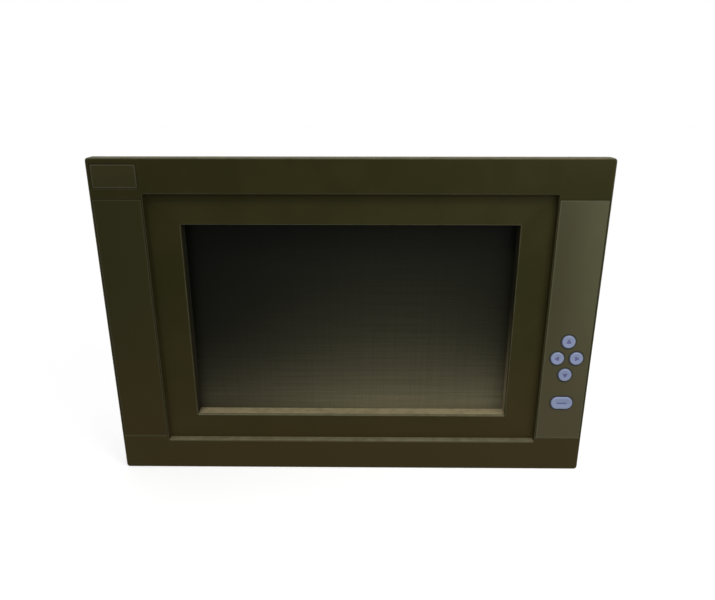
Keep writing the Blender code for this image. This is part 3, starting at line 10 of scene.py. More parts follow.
import bmesh
import bpy
import numpy as np
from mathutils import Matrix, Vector

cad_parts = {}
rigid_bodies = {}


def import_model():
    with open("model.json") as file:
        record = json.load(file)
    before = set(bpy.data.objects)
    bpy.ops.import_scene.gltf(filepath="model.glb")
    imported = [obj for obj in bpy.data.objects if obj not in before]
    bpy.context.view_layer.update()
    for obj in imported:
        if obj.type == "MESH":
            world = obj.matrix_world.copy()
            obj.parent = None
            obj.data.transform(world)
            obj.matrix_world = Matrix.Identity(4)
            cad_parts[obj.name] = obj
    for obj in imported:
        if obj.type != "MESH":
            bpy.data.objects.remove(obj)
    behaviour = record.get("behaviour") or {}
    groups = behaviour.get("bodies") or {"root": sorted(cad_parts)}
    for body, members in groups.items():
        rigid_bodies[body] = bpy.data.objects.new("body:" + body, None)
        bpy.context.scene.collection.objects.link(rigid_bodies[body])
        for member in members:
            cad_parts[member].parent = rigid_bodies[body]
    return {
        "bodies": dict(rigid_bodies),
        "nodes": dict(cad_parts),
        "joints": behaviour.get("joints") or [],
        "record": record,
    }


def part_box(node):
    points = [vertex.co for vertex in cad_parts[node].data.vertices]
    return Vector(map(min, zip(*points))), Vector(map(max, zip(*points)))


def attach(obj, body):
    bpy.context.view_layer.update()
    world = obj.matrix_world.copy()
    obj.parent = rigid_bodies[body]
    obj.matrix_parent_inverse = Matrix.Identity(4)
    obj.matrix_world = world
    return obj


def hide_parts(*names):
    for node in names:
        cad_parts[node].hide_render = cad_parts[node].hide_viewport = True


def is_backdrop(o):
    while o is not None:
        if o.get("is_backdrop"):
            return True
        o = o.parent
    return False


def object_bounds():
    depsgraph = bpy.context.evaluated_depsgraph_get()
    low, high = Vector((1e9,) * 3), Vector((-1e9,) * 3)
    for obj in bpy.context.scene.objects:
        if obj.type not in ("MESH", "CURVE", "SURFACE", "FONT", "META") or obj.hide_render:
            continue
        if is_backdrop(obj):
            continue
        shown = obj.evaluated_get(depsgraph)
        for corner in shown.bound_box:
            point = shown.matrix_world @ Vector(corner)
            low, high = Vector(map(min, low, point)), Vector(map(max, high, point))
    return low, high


LOG = logging.getLogger("operator_panel")
MM = 0.001
# Point attribute that holds edge wear together with a painted highlight on rounded edges.
WEAR_AND_HIGHLIGHT = "edge_wear_and_highlight"
Colour = tuple[float, float, float]
Socket = bpy.types.NodeSocket
Material = bpy.types.Material
Mesh = bpy.types.Mesh
Piece = bpy.types.Object
Array = np.ndarray
KEYS = ("key_up", "key_left", "key_right", "key_down", "key_enter")
CORNERS = (1, 2, 3, 4)


class Axis(Enum):
    """Directions that a turned piece or a brushed grain can lie along."""

    X = (1.0, 0.0, 0.0)
    Y = (0.0, 1.0, 0.0)
    Z = (0.0, 0.0, 1.0)


class Mark(Enum):
    """Printed sign of each key, as the turn of its arrow in degrees; the bar has none."""

    UP = 90.0
    LEFT = 180.0
    RIGHT = 0.0
    DOWN = 270.0
    BAR = None


class Shader:
    """One node material in the making: a Principled surface and the textures that feed it."""

    def __init__(self, name: str) -> None:
        """Starts a material whose surface is wired to its output."""
        self.material = bpy.data.materials.new(name)
        self.material.use_nodes = True
        self.tree = self.material.node_tree
        self.tree.nodes.clear()
        self.surface = self.tree.nodes.new("ShaderNodeBsdfPrincipled")
        output = self.tree.nodes.new("ShaderNodeOutputMaterial")
        self.tree.links.new(self.surface.outputs["BSDF"], output.inputs["Surface"])
        self.point = self.tree.nodes.new("ShaderNodeTexCoord").outputs["Object"]

    def feed(self, socket: Socket, value: Any) -> None:
        """Links a socket to another socket, or sets its own number or colour."""
        if isinstance(value, Socket):
            self.tree.links.new(value, socket)
        elif socket.type == "RGBA":
            socket.default_value = (*value, 1.0)
        else:
            socket.default_value = value

    def node(self, kind: str, inputs: dict[Any, Any], **settings: Any) -> bpy.types.Node:
        """Adds a node.

        Args:
            kind: Blender's name for the node type.
            inputs: value or socket for each input, by name or index.
            settings: properties of the node itself.
        Returns:
            The new node.
        """
        made = self.tree.nodes.new(kind)
        for key, value in settings.items():
            setattr(made, key, value)
        for key, value in inputs.items():
            self.feed(made.inputs[key], value)
        return made

    def math(self, operation: str, first: Any, second: Any = 0.0) -> Socket:
        """Returns one arithmetic step on numbers or sockets."""
        return self.node("ShaderNodeMath", {0: first, 1: second}, operation=operation).outputs[0]

    def vector(self, operation: str, first: Any, second: Colour = (0.0, 0.0, 0.0)) -> bpy.types.Node:
        """Returns the node of one step on vectors."""
        return self.node("ShaderNodeVectorMath", {0: first, 1: second}, operation=operation)

    def along(self, axis: Axis) -> Socket:
        """Returns the place along one axis, in metres."""
        split = self.node("ShaderNodeSeparateXYZ", {0: self.point})
        return split.outputs[axis.name]

    def painted(self, attribute: str) -> Socket:
        """Returns a piece's own attribute, which its mesh carries on its points."""
        return self.node("ShaderNodeAttribute", {}, attribute_name=attribute).outputs["Fac"]

    def upward(self) -> Socket:
        """Returns how far the surface looks up: 1 on a floor, 0 on a wall."""
        normal = self.tree.nodes.new("ShaderNodeNewGeometry").outputs["Normal"]
        return self.node("ShaderNodeSeparateXYZ", {0: normal}).outputs["Z"]

    def noise(self, size: float, detail: float = 2.0, stretch: Colour = (1.0, 1.0, 1.0)) -> Socket:
        """Returns cloudy noise.

        Args:
            size: width of one cloud in metres.
            detail: number of finer layers.
            stretch: how much longer the clouds are along each axis.
        Returns:
            A socket from 0 to 1.
        """
        squeezed = tuple(1.0 / (size * share) for share in stretch)
        point = self.vector("MULTIPLY", self.point, squeezed).outputs[0]
        texture = self.node("ShaderNodeTexNoise", {"Vector": point, "Scale": 1.0, "Detail": detail})
        return texture.outputs[0]

    def cells(self, size: float, output: str = "Distance", feature: str = "F1") -> Socket:
        """Returns a cell pattern of the given cell width in metres."""
        inputs = {"Vector": self.point, "Scale": 1.0 / size}
        return self.node("ShaderNodeTexVoronoi", inputs, feature=feature).outputs[output]

    def ramp(self, value: Socket, start: float, end: float, low: Any = 0.0, high: Any = 1.0) -> Socket:
        """Returns a smooth step from low to high while the value goes from start to end."""
        inputs = {"Value": value, "From Min": start, "From Max": end, "To Min": low, "To Max": high}
        return self.node("ShaderNodeMapRange", inputs, interpolation_type="SMOOTHSTEP").outputs[0]

    def blend(self, share: Any, first: Any, second: Any) -> Socket:
        """Returns the first colour turned into the second by a share."""
        mix = self.node("ShaderNodeMix", {0: share, 6: first, 7: second}, data_type="RGBA")
        return mix.outputs[2]

    def inside(self, low: Vector, high: Vector, soft: float) -> Socket:
        """Returns a mask of a box.

        Args:
            low: lowest corner of the box.
            high: highest corner of the box.
            soft: width of the mask's soft edge in metres.
        Returns:
            A socket that is 1 in the box and 0 outside it.
        """
        middle = (low + high) / 2
        half = (high - low) / 2
        away = self.vector("SUBTRACT", self.point, tuple(middle)).outputs[0]
        over = self.vector("SUBTRACT", self.vector("ABSOLUTE", away).outputs[0], tuple(half)).outputs[0]
        x, y, z = self.node("ShaderNodeSeparateXYZ", {0: over}).outputs
        widest = self.math("MAXIMUM", self.math("MAXIMUM", x, y), z)
        return self.ramp(widest, soft / 2, -soft / 2)

    def relief(self, height: Socket, depth: float) -> None:
        """Feeds the surface's normal from a height pattern of the given depth in metres."""
        bump = self.node("ShaderNodeBump", {"Height": height, "Distance": depth, "Strength": 1.0})
        self.feed(self.surface.inputs["Normal"], bump.outputs[0])

    def finish(self, **sockets: Any) -> Material:
        """Sets the surface's sockets, given with underscores for blanks, and returns the material."""
        for name, value in sockets.items():
            self.feed(self.surface.inputs[name.replace("_", " ")], value)
        return self.material


@dataclass(frozen=True)
class MouldedPlastic:
    """Mottled, grained matt plastic; foot paled by painted warm light, edges by wear and painted highlight,
    tops by dust and painted light.
    """

    name: str
    colour: Colour
    mottle: Colour
    roughness: float = 0.56
    specular: float = 0.10
    grain: float = 0.5 * MM
    depth: float = 0.03 * MM
    dust_and_painted_light: float = 0.0
    dust_and_painted_light_colour: Colour = (0.150, 0.140, 0.081)
    rubbed_and_highlit: float = 0.0
    rubbed_and_highlit_colour: Colour = (0.085, 0.080, 0.048)
    painted_warm_reflection: Colour | None = None
    painted_warm_reflection_from: float = 60 * MM
    painted_warm_reflection_to: float = -105 * MM

    def material(self) -> Material:
        """Returns the plastic's node material."""
        paint = Shader(self.name)
        colour = paint.blend(paint.ramp(paint.noise(30 * MM, 4.0), 0.34, 0.68), self.colour, self.mottle)
        # Painted warm light: the plastic turns paler and warmer towards its foot, standing in for light
        # reflected from a warm surface below.
        if self.painted_warm_reflection:
            uneven = paint.math("MULTIPLY", paint.noise(40 * MM, 3.0), 60 * MM)
            height = paint.math("ADD", paint.along(Axis.Z), uneven)
            colour = paint.blend(paint.ramp(height, self.painted_warm_reflection_from, self.painted_warm_reflection_to), colour, self.painted_warm_reflection)
        # Painted highlight with wear: the rounded edges turn paler.
        if self.rubbed_and_highlit:
            uneven = paint.ramp(paint.noise(11 * MM, 4.0), 0.25, 0.65, 0.45 * self.rubbed_and_highlit, self.rubbed_and_highlit)
            share = paint.math("MULTIPLY", paint.painted(WEAR_AND_HIGHLIGHT), uneven)
            colour = paint.blend(share, colour, self.rubbed_and_highlit_colour)
        # Dust and painted light: faces that look up turn paler; the faint film on gently upward slopes is
        # painted light only.
        if self.dust_and_painted_light:
            patches = paint.ramp(paint.noise(7 * MM, 5.0), 0.30, 0.72, 0.6 * self.dust_and_painted_light, self.dust_and_painted_light)
            upward = paint.upward()
            film = paint.ramp(upward, 0.03, 0.11, 0.0, 0.04)
            thick = paint.math("MAXIMUM", paint.ramp(upward, 0.35, 0.95), film)
            colour = paint.blend(paint.math("MULTIPLY", thick, patches), colour, self.dust_and_painted_light_colour)
        grain = paint.noise(self.grain, 3.0)
        paint.relief(grain, self.depth)
        rough = paint.ramp(grain, 0.3, 0.7, self.roughness - 0.06, self.roughness + 0.06)
        return paint.finish(Base_Color=colour, Roughness=rough, Specular_IOR_Level=self.specular)


@dataclass(frozen=True)
class KeyPlace:
    """Where a key comes through the film: its middle, and how far its round ends stand apart sideways."""

    x: float
    z: float
    stretch: float


@dataclass(frozen=True)
class StripFilm:
    """Satin film, paler to one side and warmer at its foot by painted light, with a pale cut edge and a ring
    round each key.
    """

    name: str
    shaded_side: Colour
    lit_side: Colour
    painted_warm_reflection: Colour
    cut: Colour
    ring: Colour
    low: Vector
    high: Vector
    places: tuple[KeyPlace, ...] = ()
    ring_inside: float = 0.0
    ring_width: float = 0.0
    edge_width: float = 0.7 * MM
    specular: float = 0.22

    def material(self) -> Material:
        """Returns the film's node material."""
        paint = Shader(self.name)
        # Painted light: the film turns paler towards its right-hand side.
        across = paint.ramp(paint.along(Axis.X), self.low.x, self.high.x)
        colour = paint.blend(across, self.shaded_side, self.lit_side)
        cloud = paint.ramp(paint.noise(18 * MM, 4.0), 0.35, 0.7, 0.0, 0.16)
        colour = paint.blend(cloud, colour, self.shaded_side)
        # Painted warm light: the film turns warmer towards its foot.
        colour = paint.blend(paint.ramp(paint.along(Axis.Z), 40 * MM, self.low.z), colour, self.painted_warm_reflection)
        margin = Vector((self.edge_width, -1.0 * MM, self.edge_width))
        field = paint.inside(self.low + margin, self.high - margin, 0.4 * MM)
        colour = paint.blend(paint.math("SUBTRACT", 1.0, field), colour, self.cut)
        nearest: Any = 1.0
        for place in self.places:
            shifted = paint.vector("SUBTRACT", paint.point, (place.x, 0.0, place.z)).outputs[0]
            folded = paint.vector("ABSOLUTE", shifted).outputs[0]
            ends = paint.vector("SUBTRACT", folded, (place.stretch, 0.0, 0.0)).outputs[0]
            clipped = paint.vector("MAXIMUM", ends).outputs[0]
            flat = paint.vector("MULTIPLY", clipped, (1.0, 0.0, 1.0)).outputs[0]
            nearest = paint.math("MINIMUM", paint.vector("LENGTH", flat).outputs["Value"], nearest)
        edge = self.ring_inside + self.ring_width
        ringed = paint.ramp(nearest, edge + 0.5 * MM, edge - 0.5 * MM)
        colour = paint.blend(ringed, colour, self.ring)
        grain = paint.noise(0.35 * MM, 2.0)
        paint.relief(grain, 0.012 * MM)
        rough = paint.ramp(paint.noise(12 * MM, 3.0), 0.3, 0.7, 0.40, 0.50)
        return paint.finish(Base_Color=colour, Roughness=rough, Specular_IOR_Level=self.specular)


@dataclass(frozen=True)
class ScreenGlass:
    """Anti-glare glass over a dark display: a painted reflection that grows towards the foot, with painted
    shade to the sides.

    The painted reflection gains the same factor in each like step down, eased at the top: its share is
    (g^(t^1.4) - 1) / (g - 1), where t goes from 0 at the top to 1 at the foot and g is the gain. Faint wiping
    marks cross it.
    """

    name: str
    deep: Colour
    dark: Colour
    painted_reflection: Colour
    low: Vector
    high: Vector
    gain: float = 12.7
    margin: float = 11 * MM
    specular: float = 0.04

    def material(self) -> Material:
        """Returns the glass's node material."""
        paint = Shader(self.name)
        # Painted reflection: the glass turns paler towards its foot.
        span = {"From Min": self.high.z - self.margin, "From Max": self.low.z + self.margin}
        down = paint.node("ShaderNodeMapRange", {"Value": paint.along(Axis.Z), **span}).outputs[0]
        grown = paint.math("POWER", self.gain, paint.math("POWER", down, 1.4))
        share = paint.math("DIVIDE", paint.math("SUBTRACT", grown, 1.0), self.gain - 1.0)
        colour = paint.blend(share, self.dark, self.painted_reflection)
        # Painted shade: the glass turns darker towards its left and right sides.
        across = paint.along(Axis.X)
        left = paint.ramp(across, self.low.x - 9 * MM, 30 * MM, paint.ramp(down, 0.5, 1.0, 0.16, 0.38), 1.0)
        right = paint.ramp(across, 40 * MM, self.high.x, 1.0, paint.ramp(down, 0.5, 1.0, 0.60, 0.95))
        colour = paint.blend(paint.math("MULTIPLY", left, right), self.deep, colour)
        upright = paint.ramp(paint.noise(1.1 * MM, 2.0, (1.0, 1.0, 70.0)), 0.3, 0.7, 0.0, 0.08)
        level = paint.ramp(paint.noise(1.3 * MM, 2.0, (60.0, 1.0, 1.0)), 0.3, 0.7, 0.0, 0.16)
        specks = paint.ramp(paint.noise(0.9 * MM, 2.0), 0.3, 0.7, 0.0, 0.09)
        marks = paint.math("ADD", paint.math("ADD", upright, level), specks)
        colour = paint.blend(marks, colour, self.deep)
        smears = paint.noise(26 * MM, 5.0, (1.0, 1.0, 1.6))
        rough = paint.ramp(smears, 0.3, 0.7, 0.34, 0.48)
        paint.relief(paint.noise(0.25 * MM, 2.0), 0.004 * MM)
        return paint.finish(Base_Color=colour, Roughness=rough, Specular_IOR_Level=self.specular)


@dataclass(frozen=True)
class LiningWithDustAndPaintedLight:
    """Dark rubber lining, pale on the sill from dust and painted light, with painted light creeping up the
    walls from the sill.
    """

    name: str
    rubber: Colour
    dust_and_painted_light: Colour
    sill_z: float
    painted_light_creep: float

    def material(self) -> Material:
        """Returns the lining's node material."""
        paint = Shader(self.name)
        patches = paint.noise(6 * MM, 5.0)
        thick = paint.ramp(patches, 0.25, 0.7, 0.72, 0.98)
        # Sill: dust and painted light on faces that look up.
        sill = paint.math("MULTIPLY", paint.ramp(paint.upward(), 0.4, 0.9), thick)
        # Walls: painted light creeping up from the sill, strongest on the right.
        height = paint.ramp(paint.along(Axis.Z), self.sill_z + self.painted_light_creep, self.sill_z, 0.0, 1.0)
        side = paint.ramp(paint.along(Axis.X), -20 * MM, 60 * MM, 0.05, 1.0)
        thin = paint.ramp(patches, 0.2, 0.6, 0.75, 1.0)
        walls = paint.math("MULTIPLY", paint.math("MULTIPLY", height, side), thin)
        colour = paint.blend(paint.math("MAXIMUM", sill, walls), self.rubber, self.dust_and_painted_light)
        grain = paint.noise(0.6 * MM, 3.0)
        paint.relief(grain, 0.04 * MM)
        rough = paint.ramp(grain, 0.3, 0.7, 0.68, 0.82)
        return paint.finish(Base_Color=colour, Roughness=rough, Specular_IOR_Level=0.08)


@dataclass(frozen=True)
class ZincSheet:
    """Zinc-coated sheet steel: pale crystal cells, faint rolling lines and dull patches."""

    name: str
    colour: Colour = (0.450, 0.458, 0.462)
    shade: Colour = (0.372, 0.380, 0.385)
    spangle: float = 4.6 * MM

    def material(self) -> Material:
        """Returns the sheet's node material."""
        paint = Shader(self.name)
        tone, small = (
            paint.node("ShaderNodeSeparateColor", {0: paint.cells(size, "Color")}).outputs[0]
            for size in (self.spangle, self.spangle * 0.37))
        crystal = paint.math("ADD", paint.math("MULTIPLY", tone, 0.7), paint.math("MULTIPLY", small, 0.3))
        rolled = paint.noise(0.5 * MM, 2.0, (90.0, 1.0, 1.0))
        share = paint.math("ADD", paint.math("MULTIPLY", crystal, 0.75), paint.math("MULTIPLY", rolled, 0.35))
        colour = paint.blend(paint.ramp(share, 0.1, 1.0), self.colour, self.shade)
        dull = paint.noise(45 * MM, 5.0)
        colour = paint.blend(paint.ramp(dull, 0.52, 0.72, 0.0, 0.35), colour, self.shade)
        matt = paint.ramp(dull, 0.4, 0.7, 0.0, 0.1)
        rough = paint.math("ADD", paint.ramp(crystal, 0.0, 1.0, 0.33, 0.46), matt)
        paint.relief(rolled, 0.006 * MM)
        return paint.finish(Base_Color=colour, Metallic=0.9, Roughness=rough)


@dataclass(frozen=True)
class BareMetal:
    """Uncoated metal with drawing lines along one axis and darker handling marks."""

    name: str
    colour: Colour
    tarnish: Colour
    roughness: float = 0.30
    grain_axis: Axis = Axis.Y

    def material(self) -> Material:
        """Returns the metal's node material."""
        paint = Shader(self.name)
        stretch = tuple(1.0 + 24.0 * share for share in self.grain_axis.value)
        lines = paint.noise(0.3 * MM, 3.0, stretch)
        marks = paint.ramp(paint.noise(5 * MM, 5.0), 0.45, 0.72, 0.0, 0.7)
        colour = paint.blend(marks, self.colour, self.tarnish)
        rough = paint.ramp(lines, 0.25, 0.75, self.roughness - 0.07, self.roughness + 0.09)
        paint.relief(lines, 0.005 * MM)
        return paint.finish(Base_Color=colour, Metallic=1.0, Roughness=rough)


@dataclass(frozen=True)
class FoamRubber:
    """Closed-cell rubber: open pores in the skin, and paler worn patches."""

    name: str
    colour: Colour
    worn: Colour
    pore: float = 0.9 * MM

    def material(self) -> Material:
        """Returns the rubber's node material."""
        paint = Shader(self.name)
        pores = paint.ramp(paint.cells(self.pore), 0.15, 0.55)
        patches = paint.ramp(paint.noise(14 * MM, 4.0), 0.4, 0.7, 0.0, 0.8)
        colour = paint.blend(patches, self.colour, self.worn)
        paint.relief(pores, 0.10 * MM)
        rough = paint.ramp(pores, 0.0, 1.0, 0.92, 0.76)
        return paint.finish(Base_Color=colour, Roughness=rough, Specular_IOR_Level=0.2)


@dataclass(frozen=True)
class CircuitBoard:
    """Green lacquered board with copper runs showing paler under the lacquer."""

    name: str
    lacquer: Colour = (0.008, 0.075, 0.034)
    run: Colour = (0.030, 0.140, 0.060)

    def material(self) -> Material:
        """Returns the board's node material."""
        paint = Shader(self.name)
        edges = paint.cells(4.0 * MM, "Distance", "DISTANCE_TO_EDGE")
        runs = paint.ramp(edges, 0.10, 0.06)
        dots = paint.ramp(paint.cells(2.6 * MM), 0.16, 0.12)
        colour = paint.blend(paint.math("MAXIMUM", runs, dots), self.lacquer, self.run)
        paint.relief(runs, 0.03 * MM)
        rough = paint.ramp(paint.noise(3 * MM, 3.0), 0.3, 0.7, 0.26, 0.38)
        return paint.finish(Base_Color=colour, Roughness=rough, Specular_IOR_Level=0.5)


@dataclass(frozen=True)
class LabelFilm:
    """Bare rating plate: brushed pale foil with a printed border and blank boxes."""

    name: str
    low: Vector
    high: Vector
    foil: Colour = (0.480, 0.480, 0.465)
    ink: Colour = (0.050, 0.052, 0.055)

    def material(self) -> Material:
        """Returns the plate's node material."""
        paint = Shader(self.name)
        lines = paint.noise(0.3 * MM, 2.0, (60.0, 1.0, 1.0))
        colour = paint.blend(paint.ramp(lines, 0.3, 0.7, 0.0, 0.18), self.foil, (0.36, 0.36, 0.35))
        depth = Vector((0.0, 2 * MM, 0.0))
        rim = Vector((1.6 * MM, 0.0, 1.6 * MM))
        stroke = Vector((0.45 * MM, 0.0, 0.45 * MM))
        outer = paint.inside(self.low + rim - depth, self.high - rim + depth, 0.1 * MM)
        inner = paint.inside(self.low + rim + stroke - depth, self.high - rim - stroke + depth, 0.1 * MM)
        printed = paint.math("SUBTRACT", outer, inner)
        middle_z = (self.low.z + self.high.z) / 2
        rule_low = Vector((self.low.x + rim.x, self.low.y - depth.y, middle_z - 0.2 * MM))
        rule_high = Vector((self.high.x - rim.x, self.high.y + depth.y, middle_z + 0.2 * MM))
        printed = paint.math("MAXIMUM", printed, paint.inside(rule_low, rule_high, 0.1 * MM))
        colour = paint.blend(printed, colour, self.ink)
        rough = paint.ramp(lines, 0.3, 0.7, 0.34, 0.46)
        paint.relief(lines, 0.004 * MM)
        return paint.finish(Base_Color=colour, Roughness=rough, Metallic=0.35)


@dataclass(frozen=True)
class PortMetal:
    """Tin-plated port shell with a dark insulator in its mouth or on its face."""

    name: str
    low: Vector
    high: Vector
    shell: Colour = (0.520, 0.520, 0.500)
    insulator: Colour = (0.016, 0.016, 0.018)

    def material(self) -> Material:
        """Returns the port's node material."""
        paint = Shader(self.name)
        face = paint.inside(self.low, self.high, 0.15 * MM)
        marks = paint.ramp(paint.noise(3 * MM, 4.0), 0.4, 0.7, 0.0, 0.4)
        shell = paint.blend(marks, self.shell, (0.40, 0.40, 0.39))
        colour = paint.blend(face, shell, self.insulator)
        metal = paint.math("SUBTRACT", 1.0, face)
        rough = paint.ramp(face, 0.0, 1.0, 0.30, 0.55)
        paint.relief(paint.noise(0.4 * MM, 2.0), 0.006 * MM)
        return paint.finish(Base_Color=colour, Metallic=metal, Roughness=rough)


class Box:
    """Space that a CAD node fills at rest; half holds its half width and half height, seen from the front."""

    def __init__(self, node: str) -> None:
        """Reads the node's lowest and highest corner."""
        self.low, self.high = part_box(node)
        self.size = self.high - self.low
        self.middle = (self.low + self.high) / 2
        self.half = (self.size.x / 2, self.size.z / 2)

    def at(self, y: float) -> Vector:
        """Returns the middle of the box, seen from the front, at a depth."""
        return Vector((self.middle.x, y, self.middle.z))


def sheet_mesh(name: str, points: Array, wrap_rows: bool = False, cap_ends: bool = False,
               wear_and_highlight: Array | None = None) -> Mesh:
    """Makes a mesh of quads over a grid of points.

    The grid is indexed [row, column] and its columns run round a closed loop. An open sheet faces the side
    from which the columns run anticlockwise where the rows run inwards.

    Args:
        name: name of the mesh.
        points: array of rows x columns x 3 coordinates in metres.
        wrap_rows: whether the last row joins the first, as on a ring with a closed profile.
        cap_ends: whether the first and last rows are closed by a flat face each.
        wear_and_highlight: how much wear and painted highlight each row carries, from 0 to 1, kept on the
            points.
    Returns:
        A mesh with merged doubles and smooth shading; faces of a closed one point outwards.
    """
    rows, columns = points.shape[:2]
    index = np.arange(rows * columns).reshape(rows, columns)
    upper = np.roll(index, -1, axis=0) if wrap_rows else index[1:]
    lower = index if wrap_rows else index[:-1]
    quads = np.stack([lower, np.roll(lower, -1, 1), np.roll(upper, -1, 1), upper], axis=-1).reshape(-1, 4)
    faces = quads.tolist()
    if cap_ends:
        faces += [index[0][::-1].tolist(), index[-1].tolist()]
    mesh = bpy.data.meshes.new(name)
    mesh.from_pydata(points.reshape(-1, 3).tolist(), [], faces)
    if wear_and_highlight is not None:
        layer = mesh.attributes.new(WEAR_AND_HIGHLIGHT, "FLOAT", "POINT")
        layer.data.foreach_set("value", np.repeat(wear_and_highlight, columns))
    return cleaned(mesh, wrap_rows or cap_ends)


def cleaned(mesh: Mesh, closed: bool = True, flat_angle: float = 35.0) -> Mesh:
    """Merges doubles, turns a closed mesh outwards and marks edges over an angle in degrees as sharp."""
    work = bmesh.new()
    work.from_mesh(mesh)
    bmesh.ops.remove_doubles(work, verts=work.verts, dist=0.0005 * MM)
    bmesh.ops.dissolve_degenerate(work, edges=work.edges, dist=0.0005 * MM)
    if closed:
        bmesh.ops.recalc_face_normals(work, faces=work.faces)
    work.to_mesh(mesh)
    work.free()
    mesh.shade_smooth()
    mesh.set_sharp_from_angle(angle=math.radians(flat_angle))
    return mesh


def corner_turns(steps: int) -> tuple[Array, Array]:
    """Returns the corner signs and the outward directions of a rounded rectangle's points, each as n x 2."""
    turns = (np.arange(4)[:, None] + np.linspace(0.0, 1.0, steps + 1)[None, :]) * np.pi / 2
    signs = np.repeat(np.array([[1, 1], [-1, 1], [-1, -1], [1, -1]], float), steps + 1, axis=0)
    return signs, np.stack([np.cos(turns), np.sin(turns)], axis=-1).reshape(-1, 2)


def rounded_outline(half_x: float, half_z: float, radius: float, steps: int = 6) -> Array:
    """Returns a rounded rectangle: corner middle +-(half - radius) plus radius times a quarter turn."""
    signs, directions = corner_turns(steps)
    return signs * [half_x - radius, half_z - radius] + radius * directions


def ring_points(rows: Array, centre: Vector, steps: int = 6) -> Array:
    """Stacks rounded rectangles that face -Y into a grid of points.

    Point [i, j] = sign j * (half i - radius i) + radius i * direction j in X and Z, and depth i in Y.

    Args:
        rows: k x 4 array of half width, half height, corner radius and depth.
        centre: middle of the outlines; its Y is added to the depth.
        steps: segments in each corner.
    Returns:
        Array of k x n x 3 points.
    """
    signs, directions = corner_turns(steps)
    radius = rows[:, None, 2:3]
    flat = signs[None] * (rows[:, None, :2] - radius) + radius * directions[None]
    depth = np.broadcast_to(rows[:, 3:4], flat.shape[:2])
    return np.stack([flat[..., 0] + centre.x, depth + centre.y, flat[..., 1] + centre.z], axis=-1)


def offset_rows(half: tuple[float, float], radius: float, profile: Array) -> Array:
    """Carries a profile of offsets and depths round a rounded rectangle, as rows for ring_points.

    Each offset grows both half sizes and the corner radius, which stops at 0.
    """
    offset, depth = profile.T
    return np.stack([half[0] + offset, half[1] + offset, np.clip(radius + offset, 0.0, None), depth], axis=-1)


def bent_edge(radius: float, steps: int = 4) -> Array:
    """Returns a face bent into the wall of a hole, as offset and depth.

    At angle t from 0 to 90 degrees the offset is -radius * sin t and the depth radius * (1 - cos t).
    """
    turn = np.linspace(0.0, np.pi / 2, steps + 1)
    return radius * np.stack([-np.sin(turn), 1.0 - np.cos(turn)], axis=-1)


def wall_foot(radius: float, steps: int = 4) -> Array:
    """Returns a wall bent inwards at its foot, as offset and depth.

    At angle t from 0 to 90 degrees the offset is -radius * (1 - cos t) and the depth radius * sin t.
    """
    turn = np.linspace(0.0, np.pi / 2, steps + 1)
    return radius * np.stack([np.cos(turn) - 1.0, np.sin(turn)], axis=-1)


def rolled_edge(radius: float, steps: int = 4) -> Array:
    """Returns a front face rolled over into an outer wall, as offset and depth: bent_edge turned about."""
    return bent_edge(radius, steps) * [-1.0, 1.0] - [radius, 0.0]


def strip_section(width: float, depth: float, radius: float, inset: float = 0.0, steps: int = 4) -> Array:
    """Returns a round-edged strip's section, inside an outline by an inset, as offset and depth."""
    return rounded_outline(width / 2, depth / 2, radius, steps) - [inset + width / 2, 0.0]


def plate_points(box: Box, depth_from: float, corner: float, edge: float, facing: float) -> Array:
    """Stacks the edge of a plate from its rounded face to its rear.

    Args:
        box: space that the plate fills.
        depth_from: Y of the plate's face.
        corner: radius of the corners.
        edge: radius of the rounded edge.
        facing: 1 where the rear lies along +Y from the face, -1 where it lies along -Y.
    Returns:
        Array of rows x columns x 3 points.
    """
    profile = np.vstack([rolled_edge(edge), [[0.0, box.size.y]]]) * [1.0, facing]
    return ring_points(offset_rows(box.half, corner, profile), box.at(depth_from))


def turned_points(start: Vector, axis: Axis, profile: Array, sides: int = 32) -> Array:
    """Turns a profile about an axis.

    Point [i, j] = start + along i * axis + radius i * (cos j * first + sin j * second), where first and
    second are the two axes square to the turning axis.

    Args:
        start: point on the axis where along is 0.
        axis: the turning axis.
        profile: k x 2 array of distance along the axis and radius.
        sides: number of sides.
    Returns:
        Array of k x sides x 3 points.
    """
    main = np.array(axis.value)
    first = np.roll(main, 1)
    second = np.cross(main, first)
    angle = np.linspace(0.0, 2 * np.pi, sides, endpoint=False)
    wheel = np.cos(angle)[:, None] * first + np.sin(angle)[:, None] * second
    return np.array(start) + profile[:, 0][:, None, None] * main + profile[:, 1][:, None, None] * wheel[None]


def thread_points(start: Vector, length: float, radius: float, pitch: float, depth: float) -> Array:
    """Works out a screw thread along +Y.

    Radius at (along s, angle a) = radius - depth * triangle(s / pitch - a / 2 pi), where triangle goes from
    0 on the crest to 1 in the root and back in one pitch; both ends taper to the root over one pitch.

    Args:
        start: point on the axis where the thread starts.
        length: length of the thread.
        radius: radius on the crests.
        pitch: distance between crests.
        depth: depth of the roots.
    Returns:
        Array of rows x sides x 3 points.
    """
    along = np.linspace(0.0, length, int(length / pitch * 6) + 1)[:, None]
    angle = np.linspace(0.0, 2 * np.pi, 24, endpoint=False)[None, :]
    phase = (along / pitch - angle / (2 * np.pi)) % 1.0
    triangle = 1.0 - np.abs(2.0 * phase - 1.0)
    fade = np.clip(np.minimum(along, length - along) / pitch, 0.0, 1.0)
    reach = radius - depth * (triangle * fade + (1.0 - fade))
    x = start.x + reach * np.cos(angle)
    z = start.z + reach * np.sin(angle)
    return np.stack([x, np.broadcast_to(start.y + along, x.shape), z], axis=-1)


